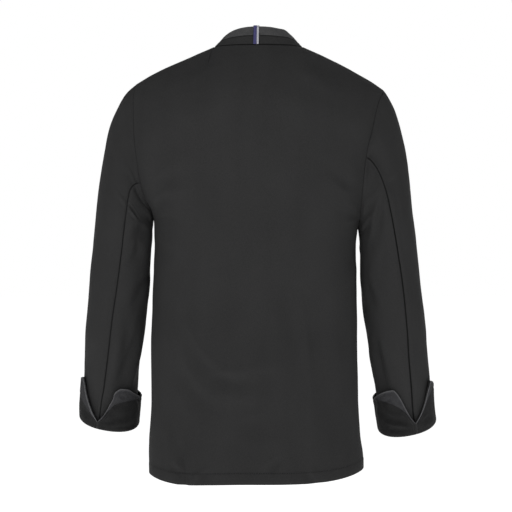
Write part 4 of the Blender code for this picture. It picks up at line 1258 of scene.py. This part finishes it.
def make_tape():
    over = [np.linspace(0, 1, 24), np.linspace(1, 1.16, 18)[1:], np.linspace(1.16, 1.4, 6)[1:]]
    across, over = np.meshgrid(np.linspace(-1, 1, 25), np.concatenate(over))
    hint = BACKWARD * (over < 1.03)[..., None]
    FORMS["collar_tape_strip"] = Form(tape_form(across, over), hint, SIDES, (TAPE,), TRIM_WALL)


make_back()
for side in ("left", "right"):
    make_front(side)
    for piece in ("upper", "under"):
        make_sleeve(side, piece)
    make_cuff(side)
    for flap in ("inner", "outer"):
        make_facing(side, flap)
make_collar("collar_stand_band", 0.0, COLLAR_SPLIT, (BLACK,), ("first", "last"), (0.0, FAINT), 41)
make_collar("collar_upper_band", COLLAR_SPLIT, 1.0, (PALE, BLACK), ("top", "first", "last"), (0.7, 0.7), 42)
make_tape()


def share_edges(forms, reach=2.6):
    """Where pieces are sewn together, their walls lean the same way and so meet."""
    loops = [border(form.points)[1] for form in forms]
    places = [form.points.reshape(-1, 3)[loop] for form, loop in zip(forms, loops)]
    leans = [form.normals.reshape(-1, 3)[loop] for form, loop in zip(forms, loops)]
    for number, (form, loop) in enumerate(zip(forms, loops)):
        other_places = np.concatenate(places[:number] + places[number + 1:])
        other_leans = np.concatenate(leans[:number] + leans[number + 1:])
        for start in range(0, len(loop), 256):
            some = slice(start, start + 256)
            here, flat = places[number][some], leans[number][some]
            apart = np.linalg.norm(here[:, None] - other_places[None], axis=-1)
            close = np.clip(1 - apart / reach, 0, 1)
            there = unit(close @ other_leans)
            agree = (there * flat).sum(axis=1, keepdims=True)
            use = (close.sum(axis=1, keepdims=True) > 0) * smooth((agree + 0.5) / 0.5)
            form.leans[loop[some]] = unit(flat + there * use)


share_edges([form for form in FORMS.values() if form.sewn])

PIECES = {}
for name, form in FORMS.items():
    form.normals = form.leans.reshape(form.points.shape)
    form.points = drawn_back(form.points, form.wall / 2 - (0.1 if form.sewn else 0.0))
    PIECES[name] = add_shell(name, form)
    declare(PIECES[name], "collar_band" if name == "collar_upper_band" else name.rsplit("_", 1)[0])

# ---------------------------------------------------------------- stitches

STITCH_PITCH = 2.9
STITCH_LENGTH = 2.1
STITCH_RADIUS = 0.27
STITCH_LIFT = 0.0945      # how far a stitch stands up at its middle
STITCH_DIP = 0.30         # how far its ends dip in from there
CAPSULE_PROFILE = ((0, -1), (0.62, -0.8), (1, -0.4), (1, 0.4), (0.62, 0.8), (0, 1))    # radius, height
CUFF_FOLD_ROWS = 18       # rows of a cuff up to its fold


def ring_faces(count, sides):
    """Faces between rings of points that follow one another."""
    one = np.arange(sides)
    two = np.roll(one, -1)
    band = np.stack([one, two, two + sides, one + sides], -1)
    return [face for ring in range(count - 1) for face in (band + ring * sides).tolist()]


def turned(profile, sides):
    """Round solid about z, from one pole through its rings to the other pole."""
    turns = 2 * math.pi * np.arange(sides) / sides
    rings = [stack(out * np.cos(turns), out * np.sin(turns), height) for out, height in profile[1:-1]]
    points = np.concatenate([*rings, [(0, 0, profile[0][1]), (0, 0, profile[-1][1])]])
    low, last = len(rings) * sides, (len(rings) - 1) * sides
    faces = ring_faces(len(rings), sides)
    for one, two in zip(range(sides), [*range(1, sides), 0]):
        faces += [[low, two, one], [low + 1, last + one, last + two]]
    return points, faces


POINTS_ABOUT_Z, CAPSULE_FACES = turned(CAPSULE_PROFILE, 6)
CAPSULE_POINTS = np.roll(POINTS_ABOUT_Z, 1, axis=1)


def capsules(places, along, up, half, radius, lift, dip):
    """Stitches laid at places on the cloth, ends dipping into it."""
    x, y, z = CAPSULE_POINTS.T
    ways = (along, np.cross(up, along), up)
    far = (half * x, radius * y, radius * z + lift - dip * x ** 2)
    made = places[:, None] + sum(way[:, None] * part[..., None] for way, part in zip(ways, far))
    return [(points, CAPSULE_FACES) for points in made]


def row_of_stitches(line, normals):
    run = run_lengths(line, 0)
    spots = np.arange(STITCH_PITCH * 0.8, run[-1] - STITCH_PITCH * 0.5, STITCH_PITCH)
    place, up, ahead, behind = [
        columns_at(values[:, None], run[:, None], where[:, None])[:, 0]
        for values, where in ((line, spots), (normals, spots), (line, spots + 0.8), (line, spots - 0.8))
    ]
    return capsules(place, unit(ahead - behind), unit(up), STITCH_LENGTH / 2, STITCH_RADIUS,
                    STITCH_LIFT, STITCH_DIP)


def add_joined(name, parts, material):
    """One mesh of many parts, each of them points and faces."""
    faces, made = [], 0
    for points, loops in parts:
        faces += [[i + made for i in face] for face in loops]
        made += len(points)
    declare(add_mesh(name, np.concatenate([points for points, _ in parts]), faces, [material]))


def sew(name, runs, material=THREAD):
    """Stitches along lines; each run is a line of points and their normals."""
    add_joined(name, [stitch for run in runs for stitch in row_of_stitches(*run)], material)


def inset_line(form, side, distance, rows=slice(None)):
    """Line on a piece at a distance from one of its sides, along its surface."""
    grids = [form.points[rows], form.normals[rows]]
    if side in ("first", "last"):
        grids = [grid.swapaxes(0, 1) for grid in grids]
    if side in ("bottom", "last"):
        grids = [grid[::-1] for grid in grids]
    runs = run_lengths(grids[0], 0)
    wanted = np.full((1, runs.shape[1]), distance)
    line, normals = [columns_at(grid, runs, wanted)[0] for grid in grids]
    return line, unit(normals)


def part_of(run, start, stop):
    return [values[int(start * len(values)):int(stop * len(values))] for values in run]


hem_row = int(np.argmin(np.abs(above_hem(ROWS) - HEM_STITCH)))
panels = [FORMS[name] for name in ("back_panel", "front_left_panel", "front_right_panel")]
sew("stitches_hem", [(form.points[hem_row], form.normals[hem_row]) for form in panels])
front = FORMS["front_left_panel"]
sew("stitches_front_edge", [inset_line(front, "last", EDGE_STITCH)])
for side in ("left", "right"):
    cuff, rows = FORMS[f"cuff_{side}_band"], slice(CUFF_FOLD_ROWS, None)
    sew(f"stitches_cuff_{side}", [
        part_of(inset_line(cuff, "bottom", CUFF_STITCH, rows), 0.3, 0.86),
        inset_line(cuff, "first", VENT_STITCH, rows), inset_line(cuff, "last", VENT_STITCH, rows),
    ])
    inner, outer = [FORMS[f"cuff_facing_{side}_{flap}_strip"] for flap in ("inner", "outer")]
    sew(f"stitches_facing_{side}", [inset_line(inner, "bottom", 3.2), inset_line(outer, "bottom", 2.6)],
        GREY_THREAD)
    sew(f"stitches_facing_seam_{side}", [inset_line(inner, "top", 1.2)])
stand, band = FORMS["collar_stand_band"], FORMS["collar_upper_band"]
sew("stitches_collar", [inset_line(stand, "top", 2.0), inset_line(stand, "bottom", 2.2)])
sew("stitches_collar_top", [inset_line(band, "top", 2.6)], GREY_THREAD)

# ---------------------------------------------------------------- buttons

BUTTON_RADIUS = 7.5
BUTTON_THICK = 3.0
BUTTON_COLUMN = 62.0
BUTTON_HEIGHTS = (-110.0, -205.0, -300.0, -395.0, -490.0)
BUTTON_TURNS = {"left": (0.05, -0.12, 0.2, -0.04, 0.1), "right": (-0.15, 0.06, -0.02, 0.18, -0.1)}
BUTTON_SIDES = 64
HOLE_RADIUS = 0.95
HOLE_APART = 1.75         # hole centre to button centre, across and up
SEAT_RADIUS = 5.0         # the cloth under a button is felt for at this distance round it
THREAD_RADIUS = 0.30
THREAD_APART = 0.32       # from the middle of a bar to each of its two threads
SLIT = (-4.0, 13.0)       # buttonhole, from under the button towards the middle
SLIT_END = (12.4, 13.9)
SLIT_SIDE = (0.25, 1.75)  # from the slit to the ends of the bars beside it
BAR_RADIUS = 0.24
BAR_LIFT = 0.10
BAR_DIP = 0.18
BUTTON_PROFILE = (        # radius and height, as parts of the button's
    (0.0, 0.0), (0.80, 0.0), (0.90, 0.05), (0.97, 0.18), (1.0, 0.38), (1.0, 0.62), (0.985, 0.80),
    (0.95, 0.93), (0.90, 0.99), (0.85, 1.0), (0.79, 0.98), (0.74, 0.91), (0.70, 0.82), (0.66, 0.77),
    (0.60, 0.75), (0.30, 0.73), (0.0, 0.725),
)


def with_holes(button):
    """The same button with four holes right through it."""
    cutters = bmesh.new()
    for across in (-HOLE_APART, HOLE_APART):
        for up in (-HOLE_APART, HOLE_APART):
            place = Matrix.Translation(Vector((across, up, BUTTON_THICK / 2)) * MM)
            bmesh.ops.create_cone(cutters, cap_ends=True, segments=20, radius1=HOLE_RADIUS * MM,
                                  radius2=HOLE_RADIUS * MM, depth=BUTTON_THICK * 2 * MM, matrix=place)
    mesh = bpy.data.meshes.new("cutters")
    cutters.to_mesh(mesh)
    cutters.free()
    tool = add_object("cutters", mesh)
    cut = button.modifiers.new("holes", "BOOLEAN")
    cut.operation, cut.solver, cut.object = "DIFFERENCE", "EXACT", tool
    graph = bpy.context.evaluated_depsgraph_get()
    made = bpy.data.meshes.new_from_object(button.evaluated_get(graph))
    for item in (button, tool):
        bpy.data.objects.remove(item, do_unlink=True)
    made.set_sharp_from_angle(angle=math.radians(40))
    return made


def tube(line, radius=THREAD_RADIUS, sides=8):
    """Round tube along points, with closed ends."""
    run = unit(np.gradient(line, axis=0))
    across = unit(np.cross(run, (0.13, 0.21, 0.97)))
    turns = 2 * math.pi * np.arange(sides)[:, None] / sides
    around = across[:, None] * np.cos(turns) + np.cross(across, run)[:, None] * np.sin(turns)
    points = (line[:, None] + radius * around).reshape(-1, 3)
    ends = [list(range(sides))[::-1], list(range(len(points) - sides, len(points)))]
    return points, ring_faces(len(line), sides) + ends


def sewn_thread():
    """Two bars of doubled thread through the holes, as tubes."""
    turn = np.linspace(0, math.pi, 13)
    y = -HOLE_APART * np.cos(turn) * 1.05
    z = BUTTON_THICK * 0.75 - 0.7 + 1.1 * np.sin(turn) ** 0.6
    y, z = np.concatenate([y[:1], y, y[-1:]]), np.concatenate([[0.2], z, [0.2]])
    columns = [x + beside for x in (-HOLE_APART, HOLE_APART) for beside in (-THREAD_APART, THREAD_APART)]
    return [tube(stack(column, y, z)) for column in columns]


def on_front(x, z):
    """Place on the left front and the way it faces, at a distance aside and a height."""
    apart = np.hypot(front.points[..., 0] - x, front.points[..., 2] - z)
    i, j = np.unravel_index(np.argmin(apart), apart.shape)
    near, normal = front.points[i, j], front.normals[i, j]
    y = near[1] - ((x - near[0]) * normal[0] + (z - near[2]) * normal[2]) / normal[1]
    return np.array([x, y, z]), normal


def button_seat(x, z):
    """Place, outward normal and upward way of a button."""
    turns = np.linspace(0, 2 * math.pi, 8, endpoint=False)
    ring = zip(x + SEAT_RADIUS * np.cos(turns), z + SEAT_RADIUS * np.sin(turns))
    around = np.array([on_front(*place) for place in ring])
    seat, normal = around[:, 0].mean(axis=0), unit(around[:, 1].sum(axis=0))
    return seat, normal, unit(np.array([0, 0, 1.0]) - normal * normal[2])


def placed(points, seat, normal, up, turn):
    """Points of a button, turned and set on its seat."""
    x, y, z = points.T[..., None]
    c, s = math.cos(turn), math.sin(turn)
    return seat + np.cross(up, normal) * (x * c - y * s) + up * (x * s + y * c) + normal * z


def buttonhole(x, z):
    """Close bars on both sides of a slit, from under a button towards the middle."""
    bars = [[(x + along, z + way * beside) for beside in SLIT_SIDE]
            for way in (-1, 1) for along in np.arange(*SLIT, 0.5)]
    bars += [[(x + along, z + up) for along in SLIT_END] for up in np.arange(-1.6, 1.7, 0.45)]
    ends = np.array([[on_front(*place) for place in bar] for bar in bars])
    apart = ends[:, 1, 0] - ends[:, 0, 0]
    place, normal = ends.mean(axis=1).swapaxes(0, 1)
    half = np.linalg.norm(apart, axis=1, keepdims=True) / 2
    return capsules(place, unit(apart), unit(normal), half, BAR_RADIUS, BAR_LIFT, BAR_DIP)


blank, blank_faces = turned([(r * BUTTON_RADIUS, h * BUTTON_THICK) for r, h in BUTTON_PROFILE], BUTTON_SIDES)
button_mesh = with_holes(add_mesh("button_blank", blank, blank_faces, [PLASTIC]))
shape = np.empty(len(button_mesh.vertices) * 3)
button_mesh.vertices.foreach_get("co", shape)
shape = shape.reshape(-1, 3) / MM

holes = [stitch for height in BUTTON_HEIGHTS for stitch in buttonhole(-BUTTON_COLUMN, height)]
add_joined("buttonholes_stitched", holes, THREAD)
for column, turns in BUTTON_TURNS.items():
    for number, (turn, height) in enumerate(zip(turns, BUTTON_HEIGHTS), start=1):
        node = f"button_{column}_{number}"
        seat = button_seat(SIGN[column] * BUTTON_COLUMN, height)
        mesh = button_mesh.copy()
        mesh.name = f"{node}_four_hole"
        mesh.vertices.foreach_set("co", (placed(shape, *seat, turn) * MM).ravel())
        mesh.update()
        declare(add_object(f"{node}_four_hole", mesh), node)
        threads = [(placed(points, *seat, turn), faces) for points, faces in sewn_thread()]
        add_joined(f"{node}_thread", threads, THREAD)

# ---------------------------------------------------------------- stage and light

FLOOR_HEIGHT = -1.3
FLOOR_RADIUS = 30.0
FLOOR_SIDES = 96
WHITE = (1.0, 1.0, 1.0, 1.0)
WORLD_SEEN = 1.0
WORLD_LIGHT = 0.09
SOFT_BOXES = (
    # name, place, aim, size, power
    ("key", (1.35, 2.8, 0.6), (0, 0, -0.35), 1.4, 27),
    ("fill", (-1.1, 3.0, 0.1), (0, 0, -0.35), 1.5, 13),
    ("front_key", (-1.35, -2.8, 0.6), (0, 0, -0.35), 1.4, 27),
    ("front_fill", (1.1, -3.0, 0.1), (0, 0, -0.35), 1.5, 13),
    ("overhead", (0, 0.5, 2.2), (0, 0.1, 0), 1.8, 13),
)


def add_floor():
    turns = 2 * math.pi * np.arange(FLOOR_SIDES) / FLOOR_SIDES
    rim = stack(FLOOR_RADIUS * np.cos(turns), FLOOR_RADIUS * np.sin(turns), FLOOR_HEIGHT)
    mesh = bpy.data.meshes.new("floor")
    mesh.from_pydata(rim.tolist(), [], [tuple(range(FLOOR_SIDES))])
    mesh.materials.append(Nodes(bpy.data.materials.new("floor_pale")).finish({
        "Base Color": (0.55, 0.55, 0.55, 1.0), "Roughness": 0.9, "Specular IOR Level": 0.0,
        "Emission Color": WHITE, "Emission Strength": 1.0,
    }))
    add_object("floor", mesh)


def add_softbox(name, place, aim, size, power):
    data = bpy.data.lights.new(name, "AREA")
    data.shape, data.size, data.size_y, data.energy = "RECTANGLE", size, size, power
    lamp = add_object(name, data)
    lamp.location = place
    lamp.rotation_euler = (Vector(aim) - Vector(place)).to_track_quat("-Z", "Y").to_euler()


def add_world():
    """White behind the jacket, and softer light from it."""
    nodes = Nodes(bpy.data.worlds.new("studio"))
    light = nodes.feed(nodes.tree.nodes["Background"], {"Color": WHITE, "Strength": WORLD_LIGHT})
    behind = nodes.add("Background", {"Color": WHITE, "Strength": WORLD_SEEN})
    seen = nodes.add("LightPath").outputs["Is Camera Ray"]
    choice = nodes.add("MixShader", {0: seen, 1: light.outputs[0], 2: behind.outputs[0]})
    nodes.feed(nodes.tree.nodes["World Output"], {"Surface": choice.outputs[0]})
    bpy.context.scene.world = nodes.owner


add_floor()
for box in SOFT_BOXES:
    add_softbox(*box)
add_world()
bpy.context.scene.view_settings.view_transform = "Standard"
